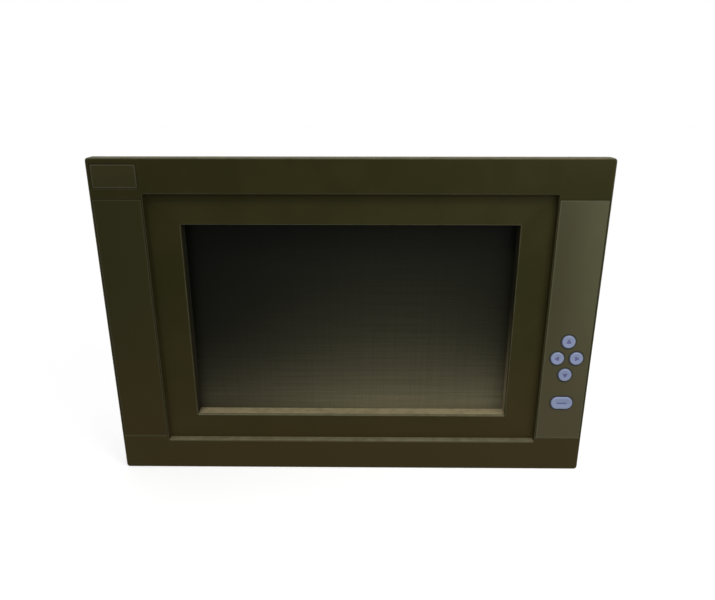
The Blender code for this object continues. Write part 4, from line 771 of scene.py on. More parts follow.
def slotted_head_mesh(name: str, centre: Vector, radius: float, depth: float,
                      slot: tuple[float, float]) -> Mesh:
    """Makes a round screw head that faces +Y, with a straight slot across it and a finely knurled rim.

    Chords at place x run from z = -sqrt(R^2 - x^2) to +sqrt(R^2 - x^2); each has a top height, which drops to
    the slot's floor between the slot's sides. The rim's R swells and shrinks by 3% forty times round.

    Args:
        name: name of the mesh.
        centre: middle of the head's flat rear face.
        radius: radius of the head.
        depth: height of the head.
        slot: width and depth of the slot.
    Returns:
        The closed mesh of the head.
    """
    side = slot[0] / 2
    angle = np.linspace(np.pi, 0.0, 61)
    x = np.concatenate([radius * np.cos(angle), [-side, -side, side, side]])
    floor = np.concatenate([np.abs(radius * np.cos(angle)) < side, [False, True, True, False]])
    rank = np.lexsort((np.where(x < 0, floor, ~floor), x))
    x, floor = x[rank], floor[rank]
    half = np.sqrt(np.clip(radius**2 - x**2, 0.0, None))
    loop_x = np.concatenate([x, x[::-1]])
    loop_z = np.concatenate([half, -half[::-1]])
    knurl = 1.0 - 0.03 * (0.5 + 0.5 * np.cos(40 * np.arctan2(loop_z, loop_x)))
    height = depth - slot[1] * np.concatenate([floor, floor[::-1]])
    chamfer = 0.12 * radius
    levels = [np.zeros_like(loop_x), height - np.minimum(chamfer, height / 2), height]
    shrink = [knurl, knurl, knurl - 0.06]
    rim = [np.stack([loop_x * s, y, loop_z * s], -1) + np.array(centre) for y, s in zip(levels, shrink)]
    count = len(x)
    verts = np.concatenate(rim)
    ring = np.arange(2 * count)
    ahead = np.roll(ring, -1)
    wall = np.stack([ring, ahead, ahead + 2 * count, ring + 2 * count], -1)
    left = np.arange(count - 1) + 4 * count
    right = 6 * count - 1 - np.arange(count - 1)
    lid = np.stack([left, left + 1, right - 1, right], -1)
    mesh = bpy.data.meshes.new(name)
    faces = np.concatenate([wall, wall + 2 * count, lid, lid[:, ::-1] - 4 * count]).tolist()
    mesh.from_pydata(verts.tolist(), [], faces)
    return cleaned(mesh, flat_angle=25.0)


def bent_strips_mesh(name: str, places: Array, path: Array, width: float, thick: float) -> Mesh:
    """Makes a row of flat spring contacts, one profile carried along one path for each place.

    Strip s has the points (place s +- width / 2, path y, path z) on its face, and the same points moved back
    by the thickness, square to the path: for a heading (a, b) in Y and Z, back is (-b, a).

    Args:
        name: name of the mesh.
        places: X of each strip's middle.
        path: n x 2 array of Y and Z.
        width: width of a strip.
        thick: thickness of a strip.
    Returns:
        The mesh of all the strips.
    """
    section = np.array([[-width / 2, 0.0], [width / 2, 0.0], [width / 2, thick], [-width / 2, thick]])
    step = np.diff(path, axis=0)
    heading = step / np.linalg.norm(step, axis=1, keepdims=True)
    heading = np.vstack([heading[:1], heading[1:] + heading[:-1], heading[-1:]])
    heading /= np.linalg.norm(heading, axis=1, keepdims=True)
    behind = np.stack([-heading[:, 1], heading[:, 0]], axis=-1)
    sheet = path[:, None, :] + section[None, :, 1:2] * behind[:, None, :]
    x = np.broadcast_to(places[:, None, None] + section[None, None, :, 0], (len(places), len(path), 4))
    points = np.concatenate([x[..., None], np.broadcast_to(sheet[None], (*x.shape, 2))], axis=-1)
    strips, rows = points.shape[:2]
    index = np.arange(strips * rows * 4).reshape(strips, rows, 4)
    lower, upper = index[:, :-1], index[:, 1:]
    quads = np.stack([lower, np.roll(lower, -1, 2), np.roll(upper, -1, 2), upper], axis=-1).reshape(-1, 4)
    ends = np.concatenate([index[:, 0, ::-1], index[:, -1]])
    mesh = bpy.data.meshes.new(name)
    mesh.from_pydata(points.reshape(-1, 3).tolist(), [], np.concatenate([quads, ends]).tolist())
    return cleaned(mesh)


class Bench:
    """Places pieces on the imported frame: which body carries each, which node it stands for and its finish."""

    def __init__(self) -> None:
        """Loads the frame and notes each node's body and material slot."""
        self.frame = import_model()
        self.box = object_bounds()
        bodies = self.frame["record"]["behaviour"]["bodies"]
        self.body_of = {node: body for body, nodes in bodies.items() for node in nodes}
        self.slot_of = {part["node"]: part["material_slot"] for part in self.frame["record"]["subparts"]}

    def dress(self, finish: Material, *nodes: str) -> None:
        """Gives CAD nodes that keep their shape a finish."""
        for node in nodes:
            materials = self.frame["nodes"][node].data.materials
            materials.clear()
            materials.append(finish)
            LOG.info("dressed %s in %s", node, finish.name)

    def add(self, mesh: Mesh, finish: Material, node: str, replace: bool = True) -> Piece:
        """Puts a new piece on the body of a node.

        Args:
            mesh: the piece's mesh, which gives it its name.
            finish: its material.
            node: the CAD node that it stands for or sits on.
            replace: whether the piece stands for the node.
        Returns:
            The new object.
        """
        piece = bpy.data.objects.new(mesh.name, mesh)
        bpy.context.scene.collection.objects.link(piece)
        mesh.materials.clear()
        mesh.materials.append(finish)
        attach(piece, self.body_of[node])
        if replace:
            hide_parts(node)
        LOG.info("added %s on %s, %d faces", piece.name, self.body_of[node], len(mesh.polygons))
        return piece

    def soften(self, node: str, finish: Material, edge: float, shortest: float = 2.4 * MM) -> Piece:
        """Replaces a node by a merged copy of itself whose outward edges are rounded by a Bevel.

        Args:
            node: the CAD node.
            finish: its material.
            edge: width of the rounding in metres.
            shortest: length below which an edge, such as a side of a small hole, stays crisp.
        Returns:
            The new object.
        """
        mesh = self.frame["nodes"][node].data.copy()
        mesh.name = f"{node}_edged"
        if "custom_normal" in mesh.attributes:
            mesh.attributes.remove(mesh.attributes["custom_normal"])
        work = bmesh.new()
        work.from_mesh(mesh)
        bmesh.ops.remove_doubles(work, verts=work.verts, dist=0.002 * MM)
        flat = [side for side in work.edges if abs(side.calc_face_angle_signed(1.0)) < math.radians(0.1)]
        bmesh.ops.beautify_fill(work, faces=work.faces, edges=flat, method="AREA")
        weight = work.edges.layers.float.new("bevel_weight_edge")
        for side in work.edges:
            turn = side.calc_face_angle_signed(0.0)
            side[weight] = float(turn > math.radians(40.0) and side.calc_length() > shortest)
            side.smooth = abs(turn) < math.radians(40.0)
        work.to_mesh(mesh)
        work.free()
        mesh.polygons.foreach_set("use_smooth", np.ones(len(mesh.polygons), bool))
        piece = self.add(mesh, finish, node)
        bevel = piece.modifiers.new("rounded_edges", "BEVEL")
        bevel.width = edge
        bevel.segments = 2
        bevel.limit_method = "WEIGHT"
        bevel.harden_normals = True
        bevel.use_clamp_overlap = False
        return piece


@dataclass
class MouldedFront:
    """Bezel with its sunk, mitred frame, the plain left strip, the badge place and the door gasket."""

    corner: float = 2.2 * MM
    face_edge: float = 1.0 * MM
    rear_edge: float = 0.4 * MM
    flange_y: float = -2.3 * MM
    flange_reach: float = 15.0 * MM
    recess_half: tuple[float, float] = (131.5 * MM, 88.4 * MM)
    recess_corner: float = 0.6 * MM
    recess_depth: float = 4.2 * MM
    recess_edge: float = 1.40 * MM
    recess_side_edge: float = 0.50 * MM
    recess_fillet: float = 0.30 * MM
    window_half: tuple[float, float] = (109.5 * MM, 69.0 * MM)
    window_corner: float = 0.9 * MM
    lip_depth: float = 1.8 * MM
    lip_edge: float = 0.40 * MM
    lip_rear: float = 4.3 * MM
    tray_gap: float = 0.3 * MM
    tray_edge: float = 0.10 * MM
    tray_depth: float = 0.9 * MM
    tray_ledge: float = 2.0 * MM
    support: float = 0.25 * MM
    skin: float = 0.25 * MM
    badge_corner: float = 0.6 * MM
    badge_edge: float = 0.15 * MM
    badge_line: tuple[float, float, float] = (0.55 * MM, 0.10 * MM, 0.04 * MM)
    badge_inset: float = 0.5 * MM
    badge_raise: float = 0.04 * MM
    gasket_width: float = 10.0 * MM
    gasket_rounding: float = 0.85 * MM

    def build(self, bench: Bench) -> None:
        """Builds the bezel, its films and its gasket."""
        plastic = MouldedPlastic(
            "bezel_plastic_moulded", (0.0240, 0.0230, 0.0062), (0.0295, 0.0258, 0.0076), specular=0.05,
            dust_and_painted_light=0.85, rubbed_and_highlit=0.8, painted_warm_reflection=(0.0460, 0.0345, 0.0125))
        bezel = bench.add(self.bezel_mesh(), plastic.material(), "front_bezel")
        wall = bezel.modifiers.new("moulded_wall", "SOLIDIFY")
        wall.thickness = self.skin
        wall.offset = -1.0
        strip = StripFilm(
            "left_strip_film", (0.0262, 0.0250, 0.0074), (0.0282, 0.0266, 0.0080), (0.0385, 0.0282, 0.0092),
            (0.0480, 0.0450, 0.0220), (0.0, 0.0, 0.0), *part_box("left_overlay"), specular=0.06)
        bench.dress(strip.material(), "left_overlay")
        self.build_badge(bench)
        self.build_gasket(bench)

    def bezel_mesh(self) -> Mesh:
        """Makes the bezel from rings that share one flat face.

        The rim, the sunk frame and a tray under each film are stacks of rounded rectangles; the flat face is
        filled between the rim's inner row and the outer rows of the frame and the trays.

        Returns:
            The mesh of the bezel, with its edges' wear and painted highlight on its points.
        """
        bezel = Box("front_bezel")
        face = bezel.low.y
        stacks = [(self.rim_rows(bezel.half, face), bezel.at(face)), (self.frame_rows(), bezel.at(face))]
        for film in map(Box, ("left_overlay", "keypad_overlay", "badge_plate")):
            half = (film.half[0] + self.tray_gap, film.half[1] + self.tray_gap)
            stacks.append((self.tray_rows(half), film.at(face)))
        work = bmesh.new()
        for rows, centre in stacks:
            part = sheet_mesh("stack", ring_points(rows, centre), wear_and_highlight=self.edge_wear_and_highlight(rows))
            work.from_mesh(part)
            bpy.data.meshes.remove(part)
        open_edges = [edge for edge in work.edges if edge.is_boundary and self.on_face(edge, face)]
        filled = bmesh.ops.triangle_fill(work, use_beauty=True, edges=open_edges, normal=(0.0, -1.0, 0.0))
        for piece in filled["geom"]:
            if isinstance(piece, bmesh.types.BMFace):
                piece.smooth = False
                if piece.normal.y > 0.0:
                    piece.normal_flip()
        mesh = bpy.data.meshes.new("front_moulding")
        work.to_mesh(mesh)
        work.free()
        return mesh

    def edge_wear_and_highlight(self, rows: Array) -> Array:
        """Returns the wear and painted highlight of each row: 1 within an outward rounding and 0 elsewhere.

        The turn at a row is the angle between the steps to the rows before and after it, in the plane of the
        half width and the depth; a row is marked where it turns outwards and both steps are short.
        """
        step = np.diff(rows[:, [0, 3]], axis=0)
        heading = np.unwrap(np.arctan2(step[:, 1], step[:, 0]))
        short = np.hypot(step[:, 0], step[:, 1]) < 1.5 * self.support
        outwards = np.diff(heading) < -math.radians(5.0)
        return np.concatenate([[0.0], outwards & short[1:] & short[:-1], [0.0]])

    def on_face(self, edge: bmesh.types.BMEdge, level: float) -> bool:
        """Returns whether an edge lies in the plane of the flat face."""
        return all(abs(vert.co.y - level) < 0.001 * MM for vert in edge.verts)

    def rim_rows(self, half: tuple[float, float], face_y: float) -> Array:
        """Returns the rows of the rim: in from behind, up the side and over the edge to the flat face."""
        rear = self.flange_y - face_y
        front = rolled_edge(self.face_edge, 6)
        side = np.array([[0.0, self.face_edge + self.support], [0.0, rear - self.rear_edge - self.support]])
        back = wall_foot(self.rear_edge) + [0.0, rear - self.rear_edge]
        inner = np.array([[-self.rear_edge - self.support, rear], [-self.flange_reach, rear]])
        return offset_rows(half, self.corner, np.vstack([front, side, back, inner]))[::-1]

    def frame_rows(self) -> Array:
        """Returns the rows of the sunk frame: edge, wall, fillet, sloping band, lip and window wall.

        The band goes from the recess to the window in a straight slope, so its four sides meet in mitres. The
        recess's rounded edge is narrower beside the films than above and below the frame.
        """
        floor = self.recess_depth - self.recess_fillet
        edge = bent_edge(self.recess_edge) + [self.recess_edge, 0.0]
        wall = np.array([[0.0, self.recess_edge + self.support], [0.0, floor - self.support]])
        fillet = wall_foot(self.recess_fillet) + [0.0, floor]
        foot = np.array([[-self.recess_fillet - self.support, self.recess_depth]])
        outer = offset_rows(self.recess_half, self.recess_corner, np.vstack([edge, wall, fillet, foot]))
        outer[:len(edge), 0] = self.recess_half[0] + edge[:, 0] * self.recess_side_edge / self.recess_edge
        crest = np.array([[self.lip_edge + self.support, self.lip_depth]])
        lip = bent_edge(self.lip_edge) + [self.lip_edge, self.lip_depth]
        sill = np.array([[0.0, self.lip_depth + self.lip_edge + self.support], [0.0, self.lip_rear],
                         [self.tray_ledge, self.lip_rear]])
        inner = offset_rows(self.window_half, self.window_corner, np.vstack([crest, lip, sill]))
        return np.vstack([outer, inner])

    def tray_rows(self, half: tuple[float, float]) -> Array:
        """Returns the rows of a tray under a film: rounded edge, wall and the ledge that carries the film."""
        edge = bent_edge(self.tray_edge, 2) + [self.tray_edge, 0.0]
        rest = np.array([[0.0, self.tray_depth], [-self.tray_ledge, self.tray_depth]])
        return offset_rows(half, self.tray_edge, np.vstack([edge, rest]))

    def build_badge(self, bench: Bench) -> None:
        """Builds the bare badge plate with rounded edges and the thin raised line inside its edge."""
        badge = Box("badge_plate")
        field = MouldedPlastic(
            "badge_field", (0.0318, 0.0300, 0.0100), (0.0370, 0.0335, 0.0120), 0.48, 0.06, 0.35 * MM,
            0.01 * MM)
        plate = plate_points(badge, badge.low.y, self.badge_corner, self.badge_edge, 1.0)
        bench.add(sheet_mesh("badge_field", plate, cap_ends=True), field.material(), "badge_plate")
        line = MouldedPlastic(
            "badge_line", (0.056, 0.052, 0.027), (0.068, 0.062, 0.034), 0.45, 0.10, 0.4 * MM, 0.01 * MM)
        section = strip_section(*self.badge_line, self.badge_inset, 2)
        rows = offset_rows(badge.half, self.badge_corner + self.badge_inset, section)
        border = ring_points(rows, badge.at(badge.low.y - self.badge_raise))
        bench.add(sheet_mesh("badge_line", border, wrap_rows=True), line.material(), "badge_plate", False)

    def build_gasket(self, bench: Bench) -> None:
        """Builds the foam gasket as a soft-edged strip carried round the bezel's rear."""
        gasket = Box("panel_gasket")
        foam = FoamRubber("gasket_foam", (0.016, 0.016, 0.016), (0.030, 0.030, 0.029))
        section = strip_section(self.gasket_width, gasket.size.y, self.gasket_rounding)
        rows = offset_rows(gasket.half, self.corner, section)
        rows[:, 2] = self.corner
        points = ring_points(rows, gasket.middle)
        bench.add(sheet_mesh("gasket_strip", points, wrap_rows=True), foam.material(), "panel_gasket")


@dataclass
class TouchDisplay:
    """Rubber lining of the window with dust and painted light, the touch glass with a painted reflection and
    the display parts behind it.
    """

    lining_wall: float = 2.0 * MM
    lining_rounding: float = 0.4 * MM
    lining_corner: float = 2.6 * MM
    wall_light_creep: float = 88 * MM

    def build(self, bench: Bench) -> None:
        """Builds the lining and dresses the glass and the display."""
        seal = Box("window_seal")
        lining = LiningWithDustAndPaintedLight(
            "lining_rubber", (0.014, 0.013, 0.007), (0.245, 0.205, 0.115), seal.low.z + self.lining_wall,
            self.wall_light_creep)
        section = strip_section(self.lining_wall, seal.size.y, self.lining_rounding)
        points = ring_points(offset_rows(seal.half, self.lining_corner, section), seal.middle)
        bench.add(sheet_mesh("window_lining", points, wrap_rows=True), lining.material(), "window_seal")
        glass = ScreenGlass(
            "touch_glass_painted_reflection", (0.0022, 0.0025, 0.0018), (0.0104, 0.0112, 0.0073), (0.1470, 0.1335, 0.0790),
            *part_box("touch_glass"))
        bench.dress(glass.material(), "touch_glass")
        bench.dress(ZincSheet("display_frame_zinc").material(), "lcd_frame", "chassis_plate")
        cell = MouldedPlastic("display_cell", (0.010, 0.011, 0.012), (0.014, 0.015, 0.016), 0.2, 0.5)
        guide = MouldedPlastic("light_guide", (0.78, 0.78, 0.76), (0.72, 0.73, 0.72), 0.25, 0.5)
        bench.dress(cell.material(), "lcd_cell")
        bench.dress(guide.material(), "lcd_light_guide")


@dataclass
class KeyStrip:
    """Printed film on the right with five dished keys that stand out of it, their mat and the ribbons."""

    dish: float = 0.30 * MM
    rounding: float = 0.55 * MM
    sides: int = 48
    arrow: float = 1.45 * MM
    arrow_corner: float = 0.42 * MM
    print_depth: float = 0.02 * MM
    bar: tuple[float, float] = (3.6 * MM, 0.55 * MM)
    ring_width: float = 1.15 * MM
    flange_depth: float = 0.9 * MM
    flange_reach: float = 0.75 * MM

    def build(self, bench: Bench) -> None:
        """Builds the keys and their marks and dresses the film, mat and ribbons."""
        cap = MouldedPlastic(
            "key_cap", (0.224, 0.264, 0.398), (0.250, 0.291, 0.438), 0.48, 0.22, 0.3 * MM, 0.008 * MM)
        ink = MouldedPlastic(
            "key_ink", (0.105, 0.112, 0.245), (0.118, 0.125, 0.262), 0.45, 0.22, 0.3 * MM, 0.004 * MM)
        finishes = cap.material(), ink.material()
        places = tuple(self.build_key(bench, key, *finishes) for key in KEYS)
        film = StripFilm(
            "key_strip_film", (0.036, 0.034, 0.011), (0.065, 0.064, 0.028), (0.050, 0.041, 0.015),
            (0.062, 0.060, 0.028), (0.020, 0.020, 0.013), *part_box("keypad_overlay"), places,
            self.key_radius("key_up"), self.ring_width)
        bench.dress(film.material(), "keypad_overlay")
        mat = MouldedPlastic("keypad_silicone", (0.43, 0.43, 0.41), (0.47, 0.47, 0.45), 0.6, 0.3)
        bench.dress(mat.material(), "keypad_mat")
        ribbon = MouldedPlastic("ribbon_film", (0.40, 0.19, 0.045), (0.44, 0.21, 0.055), 0.3, 0.5)
        bench.dress(ribbon.material(), "keypad_ribbon", "display_ribbon")

    def key_radius(self, key: str) -> float:
        """Returns the radius of a key's cap, inside the flange that keeps it in."""
        return Box(key).half[1] - self.flange_reach

    def crown(self, share: Array) -> Array:
        """Returns the depth of a key's face below its rim: a shallow dish, deepest in the middle.

        The depth is dish * (1 - share^2)^2 at a share of the way from the middle to the rim.
        """
        return self.dish * (1.0 - np.clip(share, 0.0, 1.0) ** 2) ** 2

    def build_key(self, bench: Bench, key: str, cap: Material, ink: Material) -> KeyPlace:
        """Builds one key and its mark.

        The cap is a stadium outline, its two half circles a stretch apart, that shrinks to the middle along
        the dish, rolls over a rounded rim and drops down a straight wall to the flange.

        Args:
            bench: where pieces are placed.
            key: the key's node.
            cap: material of the key.
            ink: material of the mark.
        Returns:
            The key's place on the strip.
        """
        box = Box(key)
        outer, depth = box.half[1], box.size.y
        radius = self.key_radius(key)
        place = KeyPlace(box.middle.x, box.middle.z, box.half[0] - outer)
        inner = radius - self.rounding
        share = np.linspace(0.02, 1.0, 9)
        face = np.stack([share * inner, self.crown(share)], -1)
        rim = rolled_edge(self.rounding, 5)[1:] + [radius, 0.0]
        flange = depth - self.flange_depth
        profile = np.vstack([face, rim, [[radius, flange], [outer, flange], [outer, depth]]])
        angle = np.linspace(0.0, 2 * np.pi, self.sides, endpoint=False) + np.pi / self.sides
        x = place.x + place.stretch * np.sign(np.cos(angle)) + profile[:, 0][:, None] * np.cos(angle)
        z = place.z + profile[:, 0][:, None] * np.sin(angle)
        y = np.broadcast_to(box.low.y + profile[:, 1][:, None], x.shape)
        bench.add(sheet_mesh(f"{key}_cap", np.stack([x, y, z], -1), cap_ends=True), cap, key)
        mark = Mark.BAR if key == "key_enter" else Mark[key.removeprefix("key_").upper()]
        mesh = self.mark_mesh(f"{key}_mark", mark, place, box.low.y, inner)
        bench.add(mesh, ink, key, replace=False)
        return place

    def mark_mesh(self, name: str, mark: Mark, place: KeyPlace, top: float, inner: float) -> Mesh:
        """Makes a key's printed mark as a thin skin that follows the dish.

        An arrow is a triangle with rounded corners: each corner's middle, a third of a turn apart, plus a
        radius that swings through that third. A bar is a rounded rectangle. The skin runs from the middle of
        its front out to the outline and back to the middle of its rear, a hair before and behind the dish.

        Args:
            name: name of the mesh.
            mark: which sign it is.
            place: the key's place.
            top: Y of the key's rim.
            inner: radius of the dish.
        Returns:
            The mesh of the mark.
        """
        if mark is Mark.BAR:
            outline = rounded_outline(*self.bar, self.bar[1])
        else:
            corner = np.repeat(np.arange(3) * 2 * np.pi / 3, 9) + math.radians(mark.value)
            swing = corner + np.tile(np.linspace(-np.pi / 3, np.pi / 3, 9), 3)
            outline = self.arrow * np.stack([np.cos(corner), np.sin(corner)], -1)
            outline += self.arrow_corner * np.stack([np.cos(swing), np.sin(swing)], -1)
        side = np.linspace(-1.0, 1.0, 13)
        flat = outline[None] * (1.0 - np.abs(side))[:, None, None]
        away = np.hypot(np.clip(np.abs(flat[..., 0]) - place.stretch, 0.0, None), flat[..., 1])
        depth = top + self.crown(away / inner) + self.print_depth * np.sign(side)[:, None]
        points = np.stack([place.x + flat[..., 0], depth, place.z + flat[..., 1]], -1)
        return sheet_mesh(name, points, cap_ends=True)


@dataclass
class RearCase:
    """Zinc-coated housing with its vents, cover screws, rating plate, board and the parts on it."""

    edge: float = 0.35 * MM
    screw_edge: float = 0.15 * MM
    plate_corner: float = 1.5 * MM
    plate_edge: float = 0.12 * MM

    def build(self, bench: Bench) -> None:
        """Builds the housing, its screws and its plate, and dresses what is inside."""
        bench.soften("rear_housing", ZincSheet("housing_zinc").material(), self.edge)
        steel = BareMetal("screw_steel", (0.50, 0.50, 0.49), (0.36, 0.355, 0.34))
        bright = steel.material()
        for number in CORNERS:
            bench.soften(f"cover_screw_{number}", bright, self.screw_edge, 0.0)
        self.build_plate(bench)
        inner = [f"{kind}_screw_{number}" for kind in ("chassis", "board") for number in CORNERS]
        bench.dress(bright, *inner, "coin_cell")
        bench.dress(CircuitBoard("board_lacquer").material(), "main_board", "keypad_board")
        chip = MouldedPlastic("chip_plastic", (0.014, 0.014, 0.015), (0.018, 0.018, 0.019), 0.5, 0.4)
        sleeve = MouldedPlastic("capacitor_sleeve", (0.018, 0.028, 0.070), (0.022, 0.034, 0.080), 0.3, 0.5)
        fins = BareMetal("heat_sink_aluminium", (0.58, 0.59, 0.60), (0.48, 0.49, 0.50), 0.36, Axis.Z)
        bench.dress(chip.material(), "processor")
        bench.dress(sleeve.material(), "capacitor")
        bench.dress(fins.material(), "heat_sink")

    def build_plate(self, bench: Bench) -> None:
        """Builds the bare rating plate, with rounded corners, on the housing's rear."""
        plate = Box("rating_plate")
        points = plate_points(plate, plate.high.y, self.plate_corner, self.plate_edge, -1.0)
        foil = LabelFilm("rating_foil", plate.low, plate.high)
        bench.add(sheet_mesh("rating_foil", points, cap_ends=True), foil.material(), "rating_plate")


@dataclass(frozen=True)
class ContactRow:
    """Row of sprung contacts; its path holds Y and Z in millimetres from the socket's lowest corner."""

    name: str
    node: str
    count: int
    pitch: float
    width: float
    thick: float
    path: tuple[tuple[float, float], ...]

    def mesh(self) -> Mesh:
        """Makes the row, spread evenly about the middle of its socket."""
        socket = Box(self.node)
        places = socket.middle.x + (np.arange(self.count) - (self.count - 1) / 2) * self.pitch
        path = np.array([socket.low.y, socket.low.z]) + MM * np.array(self.path)
        return bent_strips_mesh(self.name, places, path, self.width, self.thick)


@dataclass
class SocketRow:
    """Network, cable and serial sockets, the power plug in its header, and the earth stud under the case."""

    edge: float = 0.20 * MM
    screw_edge: float = 0.10 * MM
    contact_rows: tuple[ContactRow, ...] = (
        ContactRow("network_contacts", "network_socket", 8, 1.02 * MM, 0.42 * MM, 0.16 * MM,
                   ((1.95, 13.6), (1.95, 3.4), (2.20, 2.6), (3.05, 3.2), (5.35, 11.5))),
        ContactRow("tongue_contacts", "usb_socket", 4, 2.2 * MM, 1.0 * MM, 0.14 * MM,
                   ((3.35, 9.0), (3.35, 3.2))))
    network_wall: tuple[float, float] = (1.4 * MM, 0.9 * MM)
    tongue_wall: tuple[float, float] = (1.6 * MM, 1.2 * MM)
    shell_lip: float = 0.5 * MM
    serial_rim: tuple[float, float] = (7.0 * MM, 2.6 * MM)
    serial_face: float = 9 * MM

    def build(self, bench: Bench) -> None:
        """Builds the sockets with their contacts, the plug and the earth stud."""
        gold = BareMetal("contact_gold", (0.80, 0.56, 0.20), (0.62, 0.42, 0.14), 0.22, Axis.Z).material()
        for node, wall in (("network_socket", self.network_wall), ("usb_socket", self.tongue_wall)):
            low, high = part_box(node)
            inset = Vector((*wall, self.shell_lip))
            shell = PortMetal(f"{node}_shell", low + inset, high - inset)
            bench.soften(node, shell.material(), self.edge)
        for row in self.contact_rows:
            bench.add(row.mesh(), gold, row.node, False)
        port = Box("serial_port")
        rim = Vector((*self.serial_rim, 0.0))
        face_high = Vector((port.high.x, port.high.y, port.low.z + self.serial_face))
        shell = PortMetal("serial_shell", port.low + rim, face_high - rim)
        bench.soften("serial_port", shell.material(), self.edge)
        green = MouldedPlastic(
            "terminal_green", (0.030, 0.170, 0.058), (0.036, 0.195, 0.070), 0.42, 0.35, 0.4 * MM, 0.012 * MM)
        housing = green.material()
        bench.soften("power_plug", housing, self.edge)
        bench.dress(housing, "power_header")
        steel = BareMetal("terminal_steel", (0.50, 0.50, 0.49), (0.36, 0.355, 0.34)).material()
        for number in (1, 2):
            bench.soften(f"terminal_screw_{number}", steel, self.screw_edge, 0.0)
        brass = BareMetal("earth_brass", (0.60, 0.43, 0.16), (0.42, 0.29, 0.11), 0.30, Axis.Z).material()
        bench.soften("earth_nut", brass, self.edge)
        bench.soften("earth_stud", brass, self.edge, 0.0)


@dataclass
class DoorClamps:
    """Four hooks on the case, each with a threaded clamp screw, a slotted head and a rubber-tipped foot."""

    edge: float = 0.25 * MM
    pitch: float = 0.7 * MM
    thread_depth: float = 0.36 * MM
    head_depth: float = 4.0 * MM
    slot: tuple[float, float] = (1.1 * MM, 1.4 * MM)
    shaft_radius: float = 2.0 * MM
    foot_edge: float = 0.5 * MM
    foot_hole: tuple[float, float] = (2.3 * MM, 2.2 * MM)

    def build(self, bench: Bench) -> None:
        """Builds the hooks, screws and feet at the four corners."""
        zinc = ZincSheet("clamp_zinc", (0.48, 0.485, 0.48), (0.40, 0.405, 0.40), 3.0 * MM).material()
        steel = BareMetal("clamp_screw_steel", (0.52, 0.515, 0.49), (0.38, 0.37, 0.34), 0.28).material()
        rubber = FoamRubber("clamp_foot_rubber", (0.017, 0.017, 0.017), (0.028, 0.028, 0.027), 0.5 * MM)
        pad = rubber.material()
        for number in CORNERS:
            bench.soften(f"clamp_hook_{number}", zinc, self.edge)
            self.build_screw(bench, f"clamp_screw_{number}", steel)
            self.build_foot(bench, f"clamp_foot_{number}", pad)

    def build_screw(self, bench: Bench, node: str, steel: Material) -> None:
        """Builds one screw: a threaded shaft with a chamfered tip, and its head."""
        screw = Box(node)
        shaft = screw.size.y - self.head_depth
        points = thread_points(screw.at(screw.low.y), shaft, self.shaft_radius, self.pitch, self.thread_depth)
        bench.add(sheet_mesh(f"{node}_thread", points, cap_ends=True), steel, node)
        seat = screw.at(screw.low.y + shaft)
        head = slotted_head_mesh(f"{node}_head", seat, screw.half[1], self.head_depth, self.slot)
        bench.add(head, steel, node)

    def build_foot(self, bench: Bench, node: str, rubber: Material) -> None:
        """Builds one foot: a turned pad with rounded edges and a socket for the screw's tip."""
        foot = Box(node)
        outside = [foot.size.y, foot.half[1]]
        turn = np.linspace(0.0, np.pi / 2, 5)
        bulge = self.foot_edge * (1.0 - np.stack([np.sin(turn), np.cos(turn)], -1))
        front = (bulge * [1.0, -1.0] + [0.0, foot.half[1]])[::-1]
        bore, reach = self.foot_hole
        hole = np.array([[foot.size.y, bore], [foot.size.y - reach, bore]])
        points = turned_points(foot.at(foot.low.y), Axis.Y, np.vstack([front, outside - bulge, hole]))
        bench.add(sheet_mesh(f"{node}_pad", points, cap_ends=True), rubber, node)


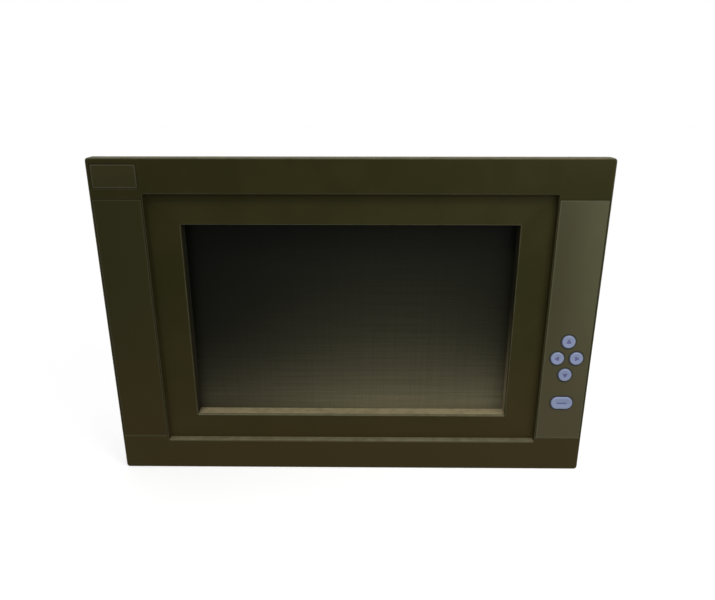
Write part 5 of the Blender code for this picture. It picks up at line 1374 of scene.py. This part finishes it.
@dataclass
class Studio:
    """Pale floor, soft light from above and the camera at the photograph's angle."""

    eye: Colour = (0.0087, -0.4012, 0.1533)
    target: Colour = (0.0047, -0.0110, 0.0188)
    lens: float = 31.22
    sensor: float = 36.0
    sun_from: Colour = (-0.10, -0.46, 0.88)
    sun_strength: float = 1.5
    sun_spread: float = 20.0
    fill_from: Colour = (0.24, -0.26, 0.20)
    fill_power: float = 0.62
    fill_size: float = 0.30
    ambient: float = 0.42
    floor_half: float = 4.0
    floor_lines: int = 9
    floor_seen: float = 0.90
    floor_glow: float = 0.245
    floor_bounce: float = 0.28

    def build(self, bench: Bench) -> None:
        """Builds the floor, lamps, world and camera."""
        scene = bpy.context.scene
        scene.view_settings.view_transform = "Standard"
        self.build_floor(bench.box[0].z)
        overhead = bpy.data.lights.new("overhead", "SUN")
        overhead.energy = self.sun_strength
        overhead.angle = math.radians(self.sun_spread)
        self.place(overhead, self.sun_from)
        soft = bpy.data.lights.new("side_fill", "AREA")
        soft.energy = self.fill_power
        soft.size = self.fill_size
        self.place(soft, self.fill_from).visible_camera = False
        self.build_world(scene)
        camera = bpy.data.cameras.new("photo_camera")
        camera.lens = self.lens
        camera.sensor_width = self.sensor
        camera.clip_start = 0.01
        scene.camera = self.place(camera, self.eye, self.target)

    def place(self, data: Any, spot: Colour, target: Colour = (0.0, 0.0, 0.0)) -> Piece:
        """Puts a lamp or a camera at a spot, turned towards a target, and returns it."""
        thing = bpy.data.objects.new(data.name, data)
        thing.location = spot
        thing.rotation_euler = (Vector(target) - Vector(spot)).to_track_quat("-Z", "Y").to_euler()
        bpy.context.scene.collection.objects.link(thing)
        return thing

    def seen_share(self, tree: bpy.types.NodeTree) -> Socket:
        """Returns 1 for rays from the camera, from glossy surfaces or through glass, and 0 for others."""
        path = tree.nodes.new("ShaderNodeLightPath")
        share = path.outputs["Is Camera Ray"]
        for name in ("Is Glossy Ray", "Is Transmission Ray"):
            step = tree.nodes.new("ShaderNodeMath")
            step.operation = "MAXIMUM"
            tree.links.new(share, step.inputs[0])
            tree.links.new(path.outputs[name], step.inputs[1])
            share = step.outputs[0]
        return share

    def build_floor(self, level: float) -> None:
        """Builds the floor, which looks near white but throws little light back at the panel."""
        grid = np.linspace(-self.floor_half, self.floor_half, self.floor_lines)
        x, y = np.meshgrid(grid, grid)
        points = np.stack([x, y, np.full_like(x, level)], -1)
        index = np.arange(x.size).reshape(x.shape)
        quads = np.stack([index[:-1, :-1], index[:-1, 1:], index[1:, 1:], index[1:, :-1]], -1).reshape(-1, 4)
        mesh = bpy.data.meshes.new("floor")
        mesh.from_pydata(points.reshape(-1, 3).tolist(), [], quads.tolist())
        floor = bpy.data.objects.new("floor", mesh)
        bpy.context.scene.collection.objects.link(floor)
        paint = Shader("pale_floor")
        share = self.seen_share(paint.tree)
        colour = paint.blend(share, (self.floor_bounce,) * 3, (self.floor_seen,) * 3)
        glow = paint.math("MULTIPLY", share, self.floor_glow)
        mesh.materials.append(paint.finish(
            Base_Color=colour, Roughness=0.9, Specular_IOR_Level=0.0, Emission_Color=(1.0, 1.0, 1.0),
            Emission_Strength=glow))
        floor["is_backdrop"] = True

    def build_world(self, scene: bpy.types.Scene) -> None:
        """Makes the world white where it is seen and a softer ambient light elsewhere."""
        world = bpy.data.worlds.new("studio")
        world.use_nodes = True
        tree = world.node_tree
        tree.nodes.clear()
        seen, dim = (tree.nodes.new("ShaderNodeBackground") for _ in range(2))
        for node, strength in ((seen, 1.0), (dim, self.ambient)):
            node.inputs["Color"].default_value = (1.0, 1.0, 1.0, 1.0)
            node.inputs["Strength"].default_value = strength
        mix = tree.nodes.new("ShaderNodeMixShader")
        output = tree.nodes.new("ShaderNodeOutputWorld")
        tree.links.new(self.seen_share(tree), mix.inputs[0])
        tree.links.new(dim.outputs[0], mix.inputs[1])
        tree.links.new(seen.outputs[0], mix.inputs[2])
        tree.links.new(mix.outputs[0], output.inputs["Surface"])
        scene.world = world


def clear_scene() -> None:
    """Removes whatever Blender starts with."""
    for thing in list(bpy.data.objects):
        bpy.data.objects.remove(thing, do_unlink=True)


def write_sizes() -> None:
    """Updates the view layer."""
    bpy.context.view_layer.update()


def main() -> None:
    """Builds the sub-assemblies in order and the studio round them."""
    logging.basicConfig(level=logging.INFO, format="%(name)s: %(message)s")
    clear_scene()
    bench = Bench()
    for kind in (MouldedFront, TouchDisplay, KeyStrip, RearCase, SocketRow, DoorClamps, Studio):
        LOG.info("building %s", kind.__name__)
        kind().build(bench)
    write_sizes()


if __name__ == "__main__":
    main()
